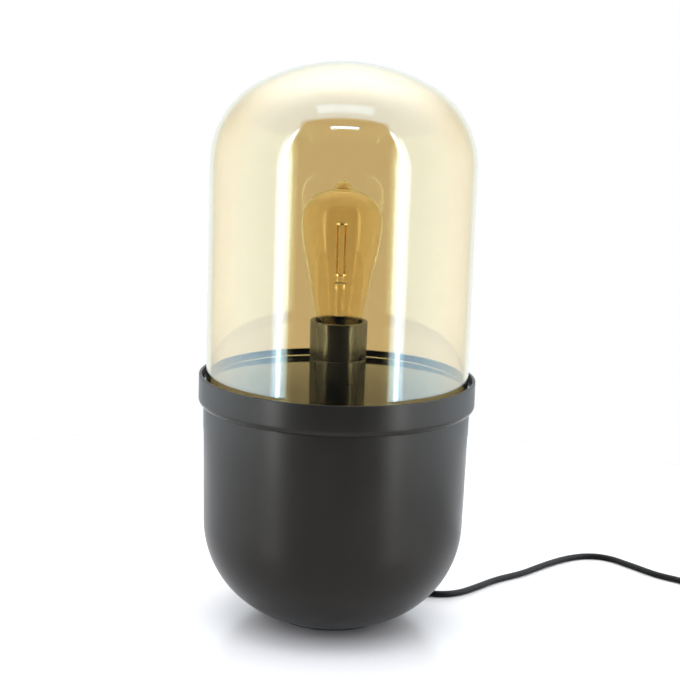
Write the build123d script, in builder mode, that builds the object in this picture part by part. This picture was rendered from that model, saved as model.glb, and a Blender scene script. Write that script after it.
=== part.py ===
from build123d import *
import os
from math import cos, pi, radians, sin, sqrt, tan

# A table lamp: a spun black bowl with a collar, an amber glass dome that stands in the collar on a
# glossy deck, a lamp screwed into its holder under the dome, and a mains lead with a rocker switch.
# Millimetres, +Z up, origin on the floor under the lamp's axis, -Y towards the viewer.

os.makedirs("parts", exist_ok=True)

# Fits between pieces
slip = 0.15          # radial room of a piece that is dropped or slid in
thread_fit = 0.05    # radial room of a screw, nut or rod in its thread
run_fit = 0.05       # radial room of a pin in its bearing

# Foot and bowl
pad_t = 2.2
pad_hole_r = 19.0
pad_edge = 0.6       # the pad stands this far inside the bowl's flat foot
foot_r = 45.0        # flat foot of the bowl
bowl_t = 1.5
bowl_rim_r = 106.4
bowl_rim_z = 186.5
bowl_lean = 1.0      # degrees by which the wall draws in on its way down
bowl_turn_z = 78.5   # height where the wall passes into the round of the base

# Collar and deck
collar_skirt_t = 3.45  # wall below the ledge, round the bowl's rim
collar_wall_h = 7.5  # height of the wall above the ledge
collar_h = 24.0
collar_t = 2.6       # wall above the deck
collar_round = 5.0   # height of the rounded lower edge
collar_lip = 0.6     # width of the flat that the rounded edge ends in
collar_edge = 0.7
ledge_t = 4.5
ledge_w = 9.4
deck_t = 3.0
deck_gap = 0.4
deck_edge = 0.4

# Glass dome
dome_gap = 3.2       # between the glass and the collar's wall
dome_h = 251.0
dome_t = 3.0
dome_shoulder = 71.0
dome_crown = 140.0
dome_edge = 0.8      # round of the ground rim

# Ballast, tie rod and bridge inside the bowl
ballast_r = 43.0
ballast_t = 12.0
ballast_edge = 2.0
ballast_screw_r = 2.0
ballast_screw_pcr = 13.0
ballast_screw_len = 11.5
ballast_head_r = 3.8
ballast_head_t = 1.8
ballast_head_round = 0.7
ballast_slot_len = 4.4
ballast_slot_w = 0.9
ballast_slot_d = 1.0
rod_r = 4.0
rod_tail = 5.4       # length of the rod that shows above its upper nut
rod_foot = 0.5       # the rod stops this far above the bowl's floor
rod_chamfer = 0.8
rod_nut_af = 13.0
rod_nut_t = 6.5
nut_corner_w = 0.6   # width and height of what is turned off a nut's corners
nut_corner_h = 0.5
bridge_w = 56.0
bridge_h = 63.0
bridge_d = 26.0
bridge_t = 2.5
bridge_round = 6.0
washer_t = 1.6
washer_r = 8.0

# Nipple that carries the holder
nipple_r = 5.0
nipple_bore = 3.8
nipple_tail = 8.5    # length that shows under its nut
nipple_rise = 6.0    # height of its top above the deck
nipple_nut_af = 14.0
nipple_nut_t = 3.0
nipple_washer_t = 1.0
nipple_washer_r = 9.0

# Holder
holder_low_r = 22.3
holder_seam_r = 22.55
holder_top_r = 22.8
holder_h = 48.7
seam_h = 19.0        # height of the seam between the holder's base and its sleeve
holder_t = 2.2
holder_floor = 3.5
holder_boss_r = 8.5
holder_boss_h = 3.0
core_seat_h = 10.0   # height of the shoulder that the core rests on
core_seat_w = 2.5
core_t = 4.0
core_step = 2.0
core_edge = 0.8
skirt_t = 1.6        # wall of the sleeve's skirt, which screws into the base
holder_edge = 0.6
mouth_r = 19.0
mouth_h = 5.5
mouth_round = 1.2
shell_t = 0.4
shell_h = 26.5
shell_play = 0.6     # radial room between the lamp's cap and the holder's threaded shell
shell_floor_r = 8.5  # bore of the flange that the shell stands on
block_w = 4.0        # terminal blocks under the core
block_d = 5.6
block_h = 5.5
block_x = 14.0
block_bite = 2.4     # length of wire inside a block
screw_head_r = 1.7
screw_head_t = 1.3
screw_shank_r = 1.1
screw_slot = 0.6     # width and depth of the slot in a terminal screw
blade_t = 0.5
blade_w = 5.0
blade_len = 12.0
blade_gap = 0.3      # between the contact blade and the lamp's contact
wire_r = 1.1
wire_x = 1.3         # the two wires lie this far from the middle of the lead
wire_bend = 2.6
lead_short = 2.5     # the lead's sheath ends this far inside the nipple

# Lamp
cap_r = 12.9
cap_t = 0.4
cap_floor_r = 9.4
cap_low = 3.4        # heights in the lamp are measured from the tip of its contact
cap_turn = 5.4
cap_high = 25.0
bulb_seat = 1.5      # height of the contact's tip above the holder's core
glass_t = 0.9
neck_r = 12.35
neck_low = 16.0
neck_high = 25.4
neck_round = 4.0
throat_r = 18.2
throat_h = 33.5
throat_round = 9.0
cone_r = 29.4
cone_h = 87.5
belly_r = 31.86
belly_h = 111.5
bulb_shoulder = 22.0
bulb_crown = 45.0
tip_r = 8.0          # foot of the drawn-off tip on the lamp's crown
tip_top_r = 3.4
tip_h = 3.9          # of its slanting side, above the crown
tip_cap_h = 1.6      # of its round end
stem_r = 4.6
stem_flare_r = 11.0
stem_flare_h = 10.0
stem_top = 61.5
stem_round = 1.5
wire_seat = 5.0      # depth of the support wires in the stem
ring_t = 1.0
filament_r = 1.0
filament_low = 68.5
filament_high = 107.5
filament_pcr = 4.2
support_r = 0.4
support_x = 2.2
eyelet_r = 4.5
eyelet_t = 1.5
eyelet_round = 1.0
insulator_t = 5.0

# Lead
cord_r = 2.6
exit_z = 14.0
switch_split = 7.5   # height of the lead where it goes through the switch
relief_len = 24.0
relief_lip = 1.5     # the flange's face stands this far outside the bowl
relief_root_r = 5.4
relief_tip_r = 3.8
relief_neck_r = 4.5
relief_flange_r = 6.6
relief_in = 5.0      # depth of the moulded block behind the wall
relief_round = 1.0
clip_y = 35.0
clip_d = 8.0
clip_t = 1.0
clip_w = 18.0
clip_screw_x = 6.6
clip_screw_r = 1.0
clip_screw_len = 5.0
clip_head_r = 1.8
clip_head_t = 1.2
clip_head_round = 0.5

# The lead's route inside the lamp, over the ballast and round the bridge, and outside on the floor.
# Outside it is behind the bowl up to its tenth point, and then lies as the photograph shows it.
inside_route = [
    (0, 59, exit_z), (0, 47, 18.4), (0, 23, 18.4), (0, 13, 30), (0, 13.5, 60), (0, 17, 95),
    (0, 19, 124), (0, 14, 148), (0, 0, 168),
]
floor_route = [
    (0, 117, exit_z), (5, 134, 8), (19, 149, cord_r), (41, 152, cord_r), (59, 140, cord_r),
    (68, 119, cord_r), (68, 96, cord_r), (62, 76.5, cord_r), (66, 56, cord_r), (83, 42, cord_r),
    (104.5, 43, cord_r), (123, 60.5, cord_r), (143, 84, cord_r), (168, 102, cord_r),
    (189, 126.5, cord_r), (212.5, 148.5, cord_r), (233, 158.5, cord_r), (252.5, 154.5, cord_r),
    (272, 130.5, cord_r), (289.5, 108.5, cord_r), (307, 97.5, cord_r), (317, 83, 4),
    (326, 74.5, switch_split), (336.4, 66.7, switch_split),
]
link_route = [
    (374.8, 37.9, switch_split), (385.2, 30.1, switch_split), (394.2, 20.6, 4.4), (399.4, 8.5, cord_r),
]
link_last_y = -9.0

# Inline switch
switch_place = (355.6, 52.3)
switch_way = (0.8, -0.6)
switch_len = 64.0
switch_wid = 29.0
switch_top = 18.0
switch_wall = 2.0
switch_corner = 9.0
switch_edge = 2.5
saddle_w = 12.0
saddle_len = 4.0
saddle_u = 26.5
post_r = 3.2
post_u = 21.0
post_v = 8.4
switch_screw_r = 1.5
switch_screw_len = 13.0
switch_head_r = 2.7
switch_head_t = 1.8
switch_slot_len = 3.2
switch_slot_w = 0.8
switch_slot_d = 1.0
sheath_u = 24.0      # the leads' sheaths end this far from the middle of the switch
wire_run = 6.0       # straight run of a wire out of its sheath
wire_fall = 4.0      # length over which a wire comes down to its contact
through_fall = 5.0   # length over which the through wire comes down to the base
rocker_reach = 10.3  # from the pin to the rocker's round ends
rocker_w = 11.4
rocker_gap = 0.35
rocker_z = 15.6
rocker_end_h = 4.2
rocker_mid_h = 3.0
rocker_low = 3.0
rocker_tilt = 8.0    # degrees to each side of level
rocker_pin_r = 1.2
ear_t = 2.4
ear_w = 6.0
ear_low = 3.0
leg_u = 8.0
leg_len = 3.0
leg_w = 6.0
leg_h = 3.0
bridge_len = 16.4
bridge_strip = 0.6
contact_u = 3.0
contact_len = 8.0
contact_v = 6.2
contact_w = 4.0
contact_top = 7.4
contact_wire_z = 4.8

# Coil of put-away lead
coil_place = (361.3, -30.0)
coil_gap = 0.45
coil_in_r = 22.0
coil_turns = 3
coil_dip = 1.0       # how much further in the climbing half turn goes

# Plug
plug_x = 400.5
plug_tip_y = -71.0
plug_sleeve_len = 18.0
plug_sleeve_r = 5.4
plug_len = 36.0
plug_t = 13.8
plug_face_w = 26.2   # the part that goes into a socket
plug_face_len = 8.0
plug_grip_w = 35.2   # the flare that keeps the fingers off the pins
plug_grip_low = 12.0
plug_grip_high = 17.0
plug_neck_w = 14.0
plug_neck_t = 11.6
plug_edge = 1.6
pin_r = 2.0
pin_round = 1.2
pin_root_r = 1.4     # the pin inside its insulating sleeve and the plug
pin_sleeve_len = 10.0
pin_len = 19.0
pin_gap = 18.6
pin_in = 8.0
tail_run = 11.6
tail_drop_y = -59.0

# Sizes and heights that follow
collar_bore = bowl_rim_r + slip
collar_r = collar_bore + collar_skirt_t
recess_r = collar_r - collar_t
dome_r = recess_r - dome_gap
bowl_floor = pad_t + bowl_t
ledge_top = bowl_rim_z + ledge_t
collar_top = ledge_top + collar_wall_h
collar_low = collar_top - collar_h
deck_top = ledge_top + deck_t
dome_top = deck_top + dome_h
ballast_top = bowl_floor + ballast_t
bridge_low = ledge_top - bridge_h
web_top = bridge_low + bridge_t
bridge_nut_low = web_top + washer_t
rod_top = bridge_nut_low + rod_nut_t + rod_tail
nipple_web = ledge_top - bridge_t
nipple_nut_top = nipple_web - nipple_washer_t
nipple_low = nipple_nut_top - nipple_nut_t - nipple_tail
nipple_high = deck_top + nipple_rise
seam_z = deck_top + seam_h
holder_top = deck_top + holder_h
core_low = deck_top + core_seat_h
core_top = core_low + core_t + core_step
bulb_low = core_top + bulb_seat


def write(builder, name):
    """Labels a finished piece and writes its file."""
    builder.part.label = name
    export_step(builder.part, f"parts/{name}.step")


def hex_nut(across_flats, bore_r, low, high, name):
    """A plain hexagon nut on the lamp's axis, with its corners turned off at both faces."""
    corner = across_flats / sqrt(3)
    with BuildPart() as nut:
        with BuildSketch(Plane.XY.offset(low)):
            RegularPolygon(corner, 6)
            Circle(bore_r, mode=Mode.SUBTRACT)
        extrude(amount=high - low)
        with BuildSketch(Plane.XZ):
            with BuildLine():
                Polyline(
                    (0, low), (corner - nut_corner_w, low), (corner, low + nut_corner_h),
                    (corner, high - nut_corner_h), (corner - nut_corner_w, high), (0, high), close=True,
                )
            make_face()
        revolve(axis=Axis.Z, mode=Mode.INTERSECT)
    write(nut, name)


def washer(outer_r, bore_r, low, high, name):
    """A flat washer on the lamp's axis."""
    with BuildPart() as ring:
        with BuildSketch(Plane.XY.offset(low)):
            Circle(outer_r)
            Circle(bore_r, mode=Mode.SUBTRACT)
        extrude(amount=high - low)
    write(ring, name)


# Foot pad of black felt
with BuildPart() as foot_pad:
    with BuildSketch():
        Circle(foot_r - pad_edge)
        Circle(pad_hole_r, mode=Mode.SUBTRACT)
    extrude(amount=pad_t)
write(foot_pad, "foot_pad")

# Bowl: the wall leans in on its way down and passes by one arc into the flat foot
lean = radians(bowl_lean)
wall_down = (-sin(lean), -cos(lean))
wall_out = (cos(lean), -sin(lean))
turn_r = bowl_rim_r - tan(lean) * (bowl_rim_z - bowl_turn_z)
chord_r = turn_r - foot_r
chord_z = bowl_turn_z - pad_t
base_round = (chord_r**2 + chord_z**2) / (2 * (chord_r * wall_out[0] + chord_z * wall_out[1]))
round_r = turn_r - base_round * wall_out[0]
round_z = bowl_turn_z - base_round * wall_out[1]


def bowl_outline(inset):
    """Rim, wall, round and flat of the bowl's section, as the points that they run between."""
    rim = (bowl_rim_r - inset / cos(lean), bowl_rim_z)
    turn = (turn_r - inset * wall_out[0], bowl_turn_z - inset * wall_out[1])
    low = pad_t + inset
    foot = (round_r + sqrt((base_round - inset) ** 2 - (round_z - low) ** 2), low)
    return rim, turn, foot, (0, low)


def bowl_lines(inset):
    """Draws the bowl's section line at a depth below its outside."""
    rim, turn, foot, middle = bowl_outline(inset)
    Line(rim, turn)
    TangentArc(turn, foot, tangent=wall_down)
    Line(foot, middle)


def bowl_core(inset):
    """The space inside the bowl's section line, as one solid."""
    with BuildPart() as core:
        with BuildSketch(Plane.XZ):
            with BuildLine():
                bowl_lines(inset)
                Line((0, pad_t + inset), (0, bowl_rim_z))
                Line((0, bowl_rim_z), bowl_outline(inset)[0])
            make_face()
        revolve(axis=Axis.Z)
    return core.part


exit_plane = Plane(origin=(0, 0, exit_z), x_dir=(1, 0, 0), z_dir=(0, 1, 0))
with BuildPart() as bowl_shell:
    with BuildSketch(Plane.XZ):
        with BuildLine():
            bowl_lines(0)
            Line((0, pad_t), (0, bowl_floor))
            bowl_lines(bowl_t)
            Line(bowl_outline(bowl_t)[0], bowl_outline(0)[0])
        make_face()
    revolve(axis=Axis.Z)
    with BuildSketch(exit_plane.offset(foot_r)):
        Circle(relief_neck_r + slip)
    extrude(amount=bowl_rim_r - foot_r, mode=Mode.SUBTRACT)
    with BuildSketch():
        with PolarLocations(ballast_screw_pcr, 3):
            Circle(ballast_screw_r + slip)
    extrude(amount=bowl_floor, mode=Mode.SUBTRACT)
write(bowl_shell, "bowl_shell")

# Ballast plate, its three screws, and the tie rod that stands in it
with BuildPart() as ballast_plate:
    with BuildSketch(Plane.XY.offset(bowl_floor)):
        Circle(ballast_r)
        Circle(rod_r + thread_fit, mode=Mode.SUBTRACT)
        with PolarLocations(ballast_screw_pcr, 3):
            Circle(ballast_screw_r + thread_fit, mode=Mode.SUBTRACT)
    extrude(amount=ballast_t)
    round_edges = ballast_plate.edges().filter_by(GeomType.CIRCLE)
    chamfer(round_edges.filter_by(lambda e: e.radius == ballast_r), ballast_edge)
    with BuildSketch(Plane.XY.offset(ballast_top)):
        with Locations((-clip_screw_x, clip_y), (clip_screw_x, clip_y)):
            Circle(clip_screw_r + thread_fit)
    extrude(amount=-clip_screw_len, mode=Mode.SUBTRACT)
write(ballast_plate, "ballast_plate")

with BuildPart() as ballast_screws:
    with PolarLocations(ballast_screw_pcr, 3):
        with Locations((0, 0, pad_t - ballast_head_t)):
            Cylinder(ballast_head_r, ballast_head_t, align=(Align.CENTER, Align.CENTER, Align.MIN))
        with Locations((0, 0, pad_t)):
            Cylinder(ballast_screw_r, ballast_screw_len, align=(Align.CENTER, Align.CENTER, Align.MIN))
    fillet(ballast_screws.edges().group_by(Axis.Z)[0], ballast_head_round)
    with PolarLocations(ballast_screw_pcr, 3):
        with Locations((0, 0, pad_t - ballast_head_t)):
            Box(ballast_slot_len, ballast_slot_w, 2 * ballast_slot_d, mode=Mode.SUBTRACT)
            Box(ballast_slot_w, ballast_slot_len, 2 * ballast_slot_d, mode=Mode.SUBTRACT)
write(ballast_screws, "ballast_screws")

with BuildPart() as tie_rod:
    with BuildSketch(Plane.XY.offset(bowl_floor + rod_foot)):
        Circle(rod_r)
    extrude(amount=rod_top - bowl_floor - rod_foot)
    chamfer(tie_rod.edges().filter_by(GeomType.CIRCLE), rod_chamfer)
write(tie_rod, "tie_rod")
hex_nut(rod_nut_af, rod_r + thread_fit, ballast_top, ballast_top + rod_nut_t, "rod_nut")

# Bridge: a bent strap under the deck that the tie rod pulls down
with BuildPart() as bridge:
    with BuildSketch(Plane.XZ):
        with Locations((0, ledge_top - bridge_h / 2)):
            RectangleRounded(bridge_w, bridge_h, bridge_round)
            RectangleRounded(
                bridge_w - 2 * bridge_t, bridge_h - 2 * bridge_t, bridge_round - bridge_t,
                mode=Mode.SUBTRACT,
            )
    extrude(amount=bridge_d / 2, both=True)
    with BuildSketch(Plane.XY.offset(ledge_top)):
        Circle(nipple_r + slip)
    extrude(amount=-bridge_t, mode=Mode.SUBTRACT)
    with BuildSketch(Plane.XY.offset(bridge_low)):
        Circle(rod_r + slip)
    extrude(amount=bridge_t, mode=Mode.SUBTRACT)
write(bridge, "bridge")
washer(washer_r, rod_r + slip, web_top, bridge_nut_low, "bridge_washer")
hex_nut(rod_nut_af, rod_r + thread_fit, bridge_nut_low, bridge_nut_low + rod_nut_t, "bridge_nut")

# Collar: its ledge sits on the bowl's rim and carries the deck, its wall stands round the glass
with BuildPart() as collar_ring:
    with BuildSketch(Plane.XZ):
        with BuildLine():
            Polyline(
                (collar_bore + collar_lip, collar_low), (collar_bore, collar_low),
                (collar_bore, bowl_rim_z), (recess_r - ledge_w, bowl_rim_z),
                (recess_r - ledge_w, ledge_top), (recess_r, ledge_top), (recess_r, collar_top),
                (collar_r, collar_top), (collar_r, collar_low + collar_round),
            )
            TangentArc(
                (collar_r, collar_low + collar_round), (collar_bore + collar_lip, collar_low),
                tangent=(0, -1),
            )
        make_face()
    revolve(axis=Axis.Z)
    fillet(collar_ring.edges().group_by(Axis.Z)[-1], collar_edge)
write(collar_ring, "collar_ring")

with BuildPart() as deck_plate:
    with BuildSketch(Plane.XY.offset(ledge_top)):
        Circle(recess_r - deck_gap)
        Circle(nipple_r + slip, mode=Mode.SUBTRACT)
    extrude(amount=deck_t)
    chamfer(deck_plate.edges().group_by(Axis.Z)[-1].sort_by(Edge.length)[-1], deck_edge)
write(deck_plate, "deck_plate")

# Glass dome: straight wall, round shoulder and a flatter crown, all tangent, on the same centres
crown_z = dome_top - dome_crown
shoulder_r = dome_r - dome_shoulder
shoulder_rise = sqrt((dome_crown - dome_shoulder) ** 2 - shoulder_r**2)
shoulder_z = crown_z + shoulder_rise


def dome_lines(inset):
    """Draws the dome's section line at a depth below its outside, from the rim to the top."""
    wall = dome_r - inset
    share = (dome_crown - inset) / (dome_crown - dome_shoulder)
    meet = (shoulder_r * share, crown_z + shoulder_rise * share)
    Line((wall, deck_top), (wall, shoulder_z))
    TangentArc((wall, shoulder_z), meet, tangent=(0, 1))
    TangentArc(meet, (0, dome_top - inset), tangent=(-shoulder_rise, shoulder_r))


with BuildPart() as glass_dome:
    with BuildSketch(Plane.XZ):
        with BuildLine():
            dome_lines(0)
            Line((0, dome_top), (0, dome_top - dome_t))
            dome_lines(dome_t)
            Line((dome_r - dome_t, deck_top), (dome_r, deck_top))
        make_face()
    revolve(axis=Axis.Z)
    fillet(glass_dome.edges().group_by(Axis.Z)[0], dome_edge)
write(glass_dome, "glass_dome")

# Nipple, with its nut and washer under the bridge
with BuildPart() as nipple:
    with BuildSketch(Plane.XY.offset(nipple_low)):
        Circle(nipple_r)
        Circle(nipple_bore, mode=Mode.SUBTRACT)
    extrude(amount=nipple_high - nipple_low)
write(nipple, "nipple")
washer(nipple_washer_r, nipple_r + slip, nipple_nut_top, nipple_web, "nipple_washer")
hex_nut(
    nipple_nut_af, nipple_r + thread_fit, nipple_nut_top - nipple_nut_t, nipple_nut_top, "nipple_nut"
)

# Holder's base: a cup screwed on the nipple, with a shoulder for the core
base_bore = holder_seam_r - holder_t
seat_bore = base_bore - core_seat_w
boss_top = deck_top + holder_floor + holder_boss_h
with BuildPart() as holder_base:
    with BuildSketch(Plane.XZ):
        with BuildLine():
            Polyline(
                (nipple_r + thread_fit, deck_top), (holder_low_r, deck_top), (holder_seam_r, seam_z),
                (base_bore, seam_z), (base_bore, core_low), (seat_bore, core_low),
                (seat_bore, deck_top + holder_floor), (holder_boss_r, deck_top + holder_floor),
                (holder_boss_r, boss_top), (nipple_r + thread_fit, boss_top), close=True,
            )
        make_face()
    revolve(axis=Axis.Z)
write(holder_base, "holder_base")

# Holder's sleeve: its skirt goes into the base and holds the core down
core_r = base_bore - slip
skirt_bore = core_r - skirt_t
sleeve_bore = holder_seam_r - holder_t
mouth_low = holder_top - mouth_h
with BuildPart() as holder_sleeve:
    with BuildSketch(Plane.XZ):
        with BuildLine():
            Polyline(
                (skirt_bore, core_low + core_t), (core_r, core_low + core_t), (core_r, seam_z),
                (holder_seam_r, seam_z), (holder_top_r, holder_top), (mouth_r, holder_top),
                (mouth_r, mouth_low), (sleeve_bore, mouth_low),
                (sleeve_bore, seam_z + holder_t + sleeve_bore - skirt_bore),
                (skirt_bore, seam_z + holder_t), close=True,
            )
        make_face()
    revolve(axis=Axis.Z)
    fillet(holder_sleeve.edges().group_by(Axis.Z)[-1].sort_by(Edge.length)[-1], holder_edge)
    fillet(holder_sleeve.edges().group_by(Axis.Z)[-1].sort_by(Edge.length)[0], mouth_round)
write(holder_sleeve, "holder_sleeve")

# Core of glazed porcelain, which carries the shell, the contact blade and the terminal blocks
with BuildPart() as holder_core:
    with BuildSketch(Plane.XY.offset(core_low)):
        Circle(core_r)
    extrude(amount=core_t)
    with BuildSketch(Plane.XY.offset(core_low + core_t)):
        Circle(skirt_bore - slip)
    extrude(amount=core_step)
    fillet(holder_core.edges().group_by(Axis.Z)[-1], core_edge)
write(holder_core, "holder_core")

shell_bore = cap_r + shell_play
with BuildPart() as screw_shell:
    with BuildSketch(Plane.XZ):
        with BuildLine():
            Polyline(
                (shell_floor_r, core_top), (shell_bore + shell_t, core_top),
                (shell_bore + shell_t, core_top + shell_h), (shell_bore, core_top + shell_h),
                (shell_bore, core_top + shell_t), (shell_floor_r, core_top + shell_t), close=True,
            )
        make_face()
    revolve(axis=Axis.Z)
write(screw_shell, "screw_shell")

# Contact blade: lies on the core, rises and ends under the lamp's contact
blade_top = bulb_low - blade_gap
with BuildPart() as contact_blade:
    with BuildSketch(Plane.XZ):
        with BuildLine():
            Polyline(
                (-blade_len / 2, core_top), (0, core_top), (blade_w / 2, blade_top - blade_t),
                (blade_len / 2, blade_top - blade_t), (blade_len / 2, blade_top),
                (blade_w / 2 - blade_t, blade_top), (-blade_t, core_top + blade_t),
                (-blade_len / 2, core_top + blade_t), close=True,
            )
        make_face()
    extrude(amount=blade_w / 2, both=True)
write(contact_blade, "contact_blade")

# Terminal blocks with their screws, and the two wires that come up through the nipple
wire_z = boss_top + wire_r + slip
block_in = block_x - block_w / 2
with BuildPart() as terminal_blocks:
    with BuildSketch(Plane.XY.offset(core_low)):
        with Locations((-block_x, 0), (block_x, 0)):
            Rectangle(block_w, block_d)
    extrude(amount=-block_h)
    with BuildSketch(Plane.YZ.offset(-block_in - block_bite)):
        with Locations((0, wire_z)):
            Circle(wire_r + thread_fit)
    extrude(amount=2 * (block_in + block_bite), mode=Mode.SUBTRACT)
    with BuildSketch(Plane.XZ):
        with Locations((-block_x, wire_z), (block_x, wire_z)):
            Circle(screw_shank_r + thread_fit)
    extrude(amount=block_d, mode=Mode.SUBTRACT)
write(terminal_blocks, "terminal_blocks")

with BuildPart() as terminal_screws:
    with BuildSketch(Plane.XZ.offset(block_d / 2)):
        with Locations((-block_x, wire_z), (block_x, wire_z)):
            Circle(screw_head_r)
    extrude(amount=screw_head_t)
    with BuildSketch(Plane.XZ.offset(block_d / 2)):
        with Locations((-block_x, wire_z), (block_x, wire_z)):
            Circle(screw_shank_r)
    extrude(amount=wire_r + slip - block_d / 2)
    with BuildSketch(Plane.XZ.offset(block_d / 2 + screw_head_t)):
        with Locations((-block_x, wire_z), (block_x, wire_z)):
            Rectangle(2 * screw_head_r, screw_slot)
    extrude(amount=-screw_slot, mode=Mode.SUBTRACT)
write(terminal_screws, "terminal_screws")


def corner_radii(points):
    """The radius of each corner of a route, from its shorter run and the half of its turn."""
    radii = []
    for before, at, after in zip(points, points[1:], points[2:]):
        way_in = Vector(*at) - Vector(*before)
        way_out = Vector(*after) - Vector(*at)
        half_turn = radians(way_in.get_angle(way_out)) / 2
        radii.append(0.45 * min(way_in.length, way_out.length) / tan(half_turn))
    return radii


def tube(points, radius, name):
    """A tube of straight runs and tangent arcs along a route."""
    radii = corner_radii(points)
    start = Plane(origin=points[0], z_dir=Vector(*points[1]) - Vector(*points[0]))
    with BuildPart() as run:
        with BuildLine() as path:
            FilletPolyline(*points, radius=radii)
        with BuildSketch(start):
            Circle(radius)
        sweep(path=path.wires()[0])
    length = path.wires()[0].length
    share = run.part.volume / (pi * radius**2 * length)
    print(f"{name}: {length:.0f} mm long, {share:.4f} of section times length")
    print(f"{name}: least radius {min(radii):.1f} mm")
    write(run, name)
    return length


def inner_wire(points, bend, name):
    """A stiff inner wire with one small bend radius."""
    start = Plane(origin=points[0], z_dir=Vector(*points[1]) - Vector(*points[0]))
    with BuildPart() as run:
        with BuildLine() as path:
            FilletPolyline(*points, radius=bend)
        with BuildSketch(start):
            Circle(wire_r)
        sweep(path=path.wires()[0])
    write(run, name)


lead_top = nipple_high - lead_short
for side, name in ((1, "live_wire"), (-1, "neutral_wire")):
    inner_wire(
        [
            (side * wire_x, 0, lead_top), (side * wire_x, 0, wire_z),
            (side * (block_in + block_bite), 0, wire_z),
        ],
        wire_bend, name,
    )


def bulb_z(height):
    """Height above the floor of a height in the lamp."""
    return bulb_low + height


# Lamp: contact, glass insulator, cap, glass, stem, support wires and four filament sticks
with BuildPart() as bulb_eyelet:
    with BuildSketch(Plane.XY.offset(bulb_low)):
        Circle(eyelet_r)
    extrude(amount=eyelet_t)
    fillet(bulb_eyelet.edges().group_by(Axis.Z)[0], eyelet_round)
write(bulb_eyelet, "bulb_eyelet")

insulator_r = cap_floor_r - slip
with BuildPart() as bulb_insulator:
    with BuildSketch(Plane.XZ):
        with BuildLine():
            Polyline(
                (0, bulb_z(eyelet_t)), (eyelet_r + slip, bulb_z(eyelet_t)),
                (insulator_r, bulb_z(cap_low)), (insulator_r, bulb_z(insulator_t)),
                (0, bulb_z(insulator_t)), close=True,
            )
        make_face()
    revolve(axis=Axis.Z)
write(bulb_insulator, "bulb_insulator")

with BuildPart() as bulb_cap:
    with BuildSketch(Plane.XZ):
        with BuildLine():
            Polyline(
                (cap_floor_r, bulb_z(cap_low)), (cap_r, bulb_z(cap_turn)), (cap_r, bulb_z(cap_high)),
                (cap_r - cap_t, bulb_z(cap_high)), (cap_r - cap_t, bulb_z(cap_turn + cap_t / 2)),
                (cap_floor_r, bulb_z(cap_low + cap_t)), close=True,
            )
        make_face()
    revolve(axis=Axis.Z)
write(bulb_cap, "bulb_cap")

bulb_side = belly_r - bulb_shoulder
bulb_rise = sqrt((bulb_crown - bulb_shoulder) ** 2 - bulb_side**2)
bulb_share = bulb_crown / (bulb_crown - bulb_shoulder)
crown_centre = belly_h - bulb_rise
crown_meet = (bulb_side * bulb_share, bulb_z(crown_centre + bulb_rise * bulb_share))
tip_foot = (tip_r, bulb_z(crown_centre + sqrt(bulb_crown**2 - tip_r**2)))
tip_top = (tip_top_r, tip_foot[1] + tip_h)
tip_end = (0, tip_top[1] + tip_cap_h)
cone_way = (cone_r - throat_r, cone_h - throat_h)
with BuildPart() as bulb_glass:
    with BuildSketch(Plane.XZ):
        with BuildLine():
            FilletPolyline(
                (neck_r, bulb_z(neck_low)), (neck_r, bulb_z(neck_high)), (throat_r, bulb_z(throat_h)),
                (cone_r, bulb_z(cone_h)), radius=[neck_round, throat_round],
            )
            TangentArc((cone_r, bulb_z(cone_h)), (belly_r, bulb_z(belly_h)), tangent=cone_way)
            TangentArc((belly_r, bulb_z(belly_h)), crown_meet, tangent=(0, 1))
            TangentArc(crown_meet, tip_foot, tangent=(-bulb_rise, bulb_side))
            Line(tip_foot, tip_top)
            TangentArc(tip_end, tip_top, tangent=(1, 0))
            offset(amount=glass_t, side=Side.LEFT, closed=True)
        make_face()
        split(bisect_by=Plane.YZ, keep=Keep.TOP)
    revolve(axis=Axis.Z)
write(bulb_glass, "bulb_glass")

# Stem: a flare sealed to the neck of the glass, and a rod that carries the wires
with BuildPart() as bulb_stem:
    with BuildSketch(Plane.XZ):
        with BuildLine():
            Polyline(
                (0, bulb_z(neck_low)), (stem_flare_r, bulb_z(neck_low)),
                (stem_flare_r, bulb_z(neck_low + glass_t)),
            )
            RadiusArc(
                (stem_flare_r, bulb_z(neck_low + glass_t)), (stem_r, bulb_z(neck_low + stem_flare_h)),
                stem_flare_h,
            )
            Polyline(
                (stem_r, bulb_z(neck_low + stem_flare_h)), (stem_r, bulb_z(stem_top)),
                (0, bulb_z(stem_top)), (0, bulb_z(neck_low)),
            )
        make_face()
    revolve(axis=Axis.Z)
    fillet(bulb_stem.edges().group_by(Axis.Z)[-1], stem_round)
    with BuildSketch(Plane.XY.offset(bulb_z(stem_top))):
        with Locations((-support_x, 0), (support_x, 0)):
            Circle(support_r + thread_fit)
    extrude(amount=-wire_seat, mode=Mode.SUBTRACT)
write(bulb_stem, "bulb_stem")

# Four filament sticks in a square
with BuildPart() as led_filaments:
    with BuildSketch(Plane.XY.offset(bulb_z(filament_low))):
        with PolarLocations(filament_pcr, 4, start_angle=45):
            Circle(filament_r)
    extrude(amount=filament_high - filament_low)
write(led_filaments, "led_filaments")

# Support wires stand in the stem and carry the two rings that the sticks are welded between
with BuildPart() as support_wires:
    for ring_low in (filament_low - ring_t, filament_high):
        with BuildSketch(Plane.XY.offset(bulb_z(ring_low))):
            Circle(filament_pcr + filament_r)
            Circle(support_x, mode=Mode.SUBTRACT)
        extrude(amount=ring_t)
    with BuildSketch(Plane.XY.offset(bulb_z(stem_top - wire_seat + slip))):
        with Locations((-support_x, 0), (support_x, 0)):
            Circle(support_r)
    extrude(amount=filament_high + ring_t - stem_top + wire_seat - slip)
write(support_wires, "support_wires")

# Strain relief: a flange against the bowl, a tapered sleeve outside and a block behind the wall


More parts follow.
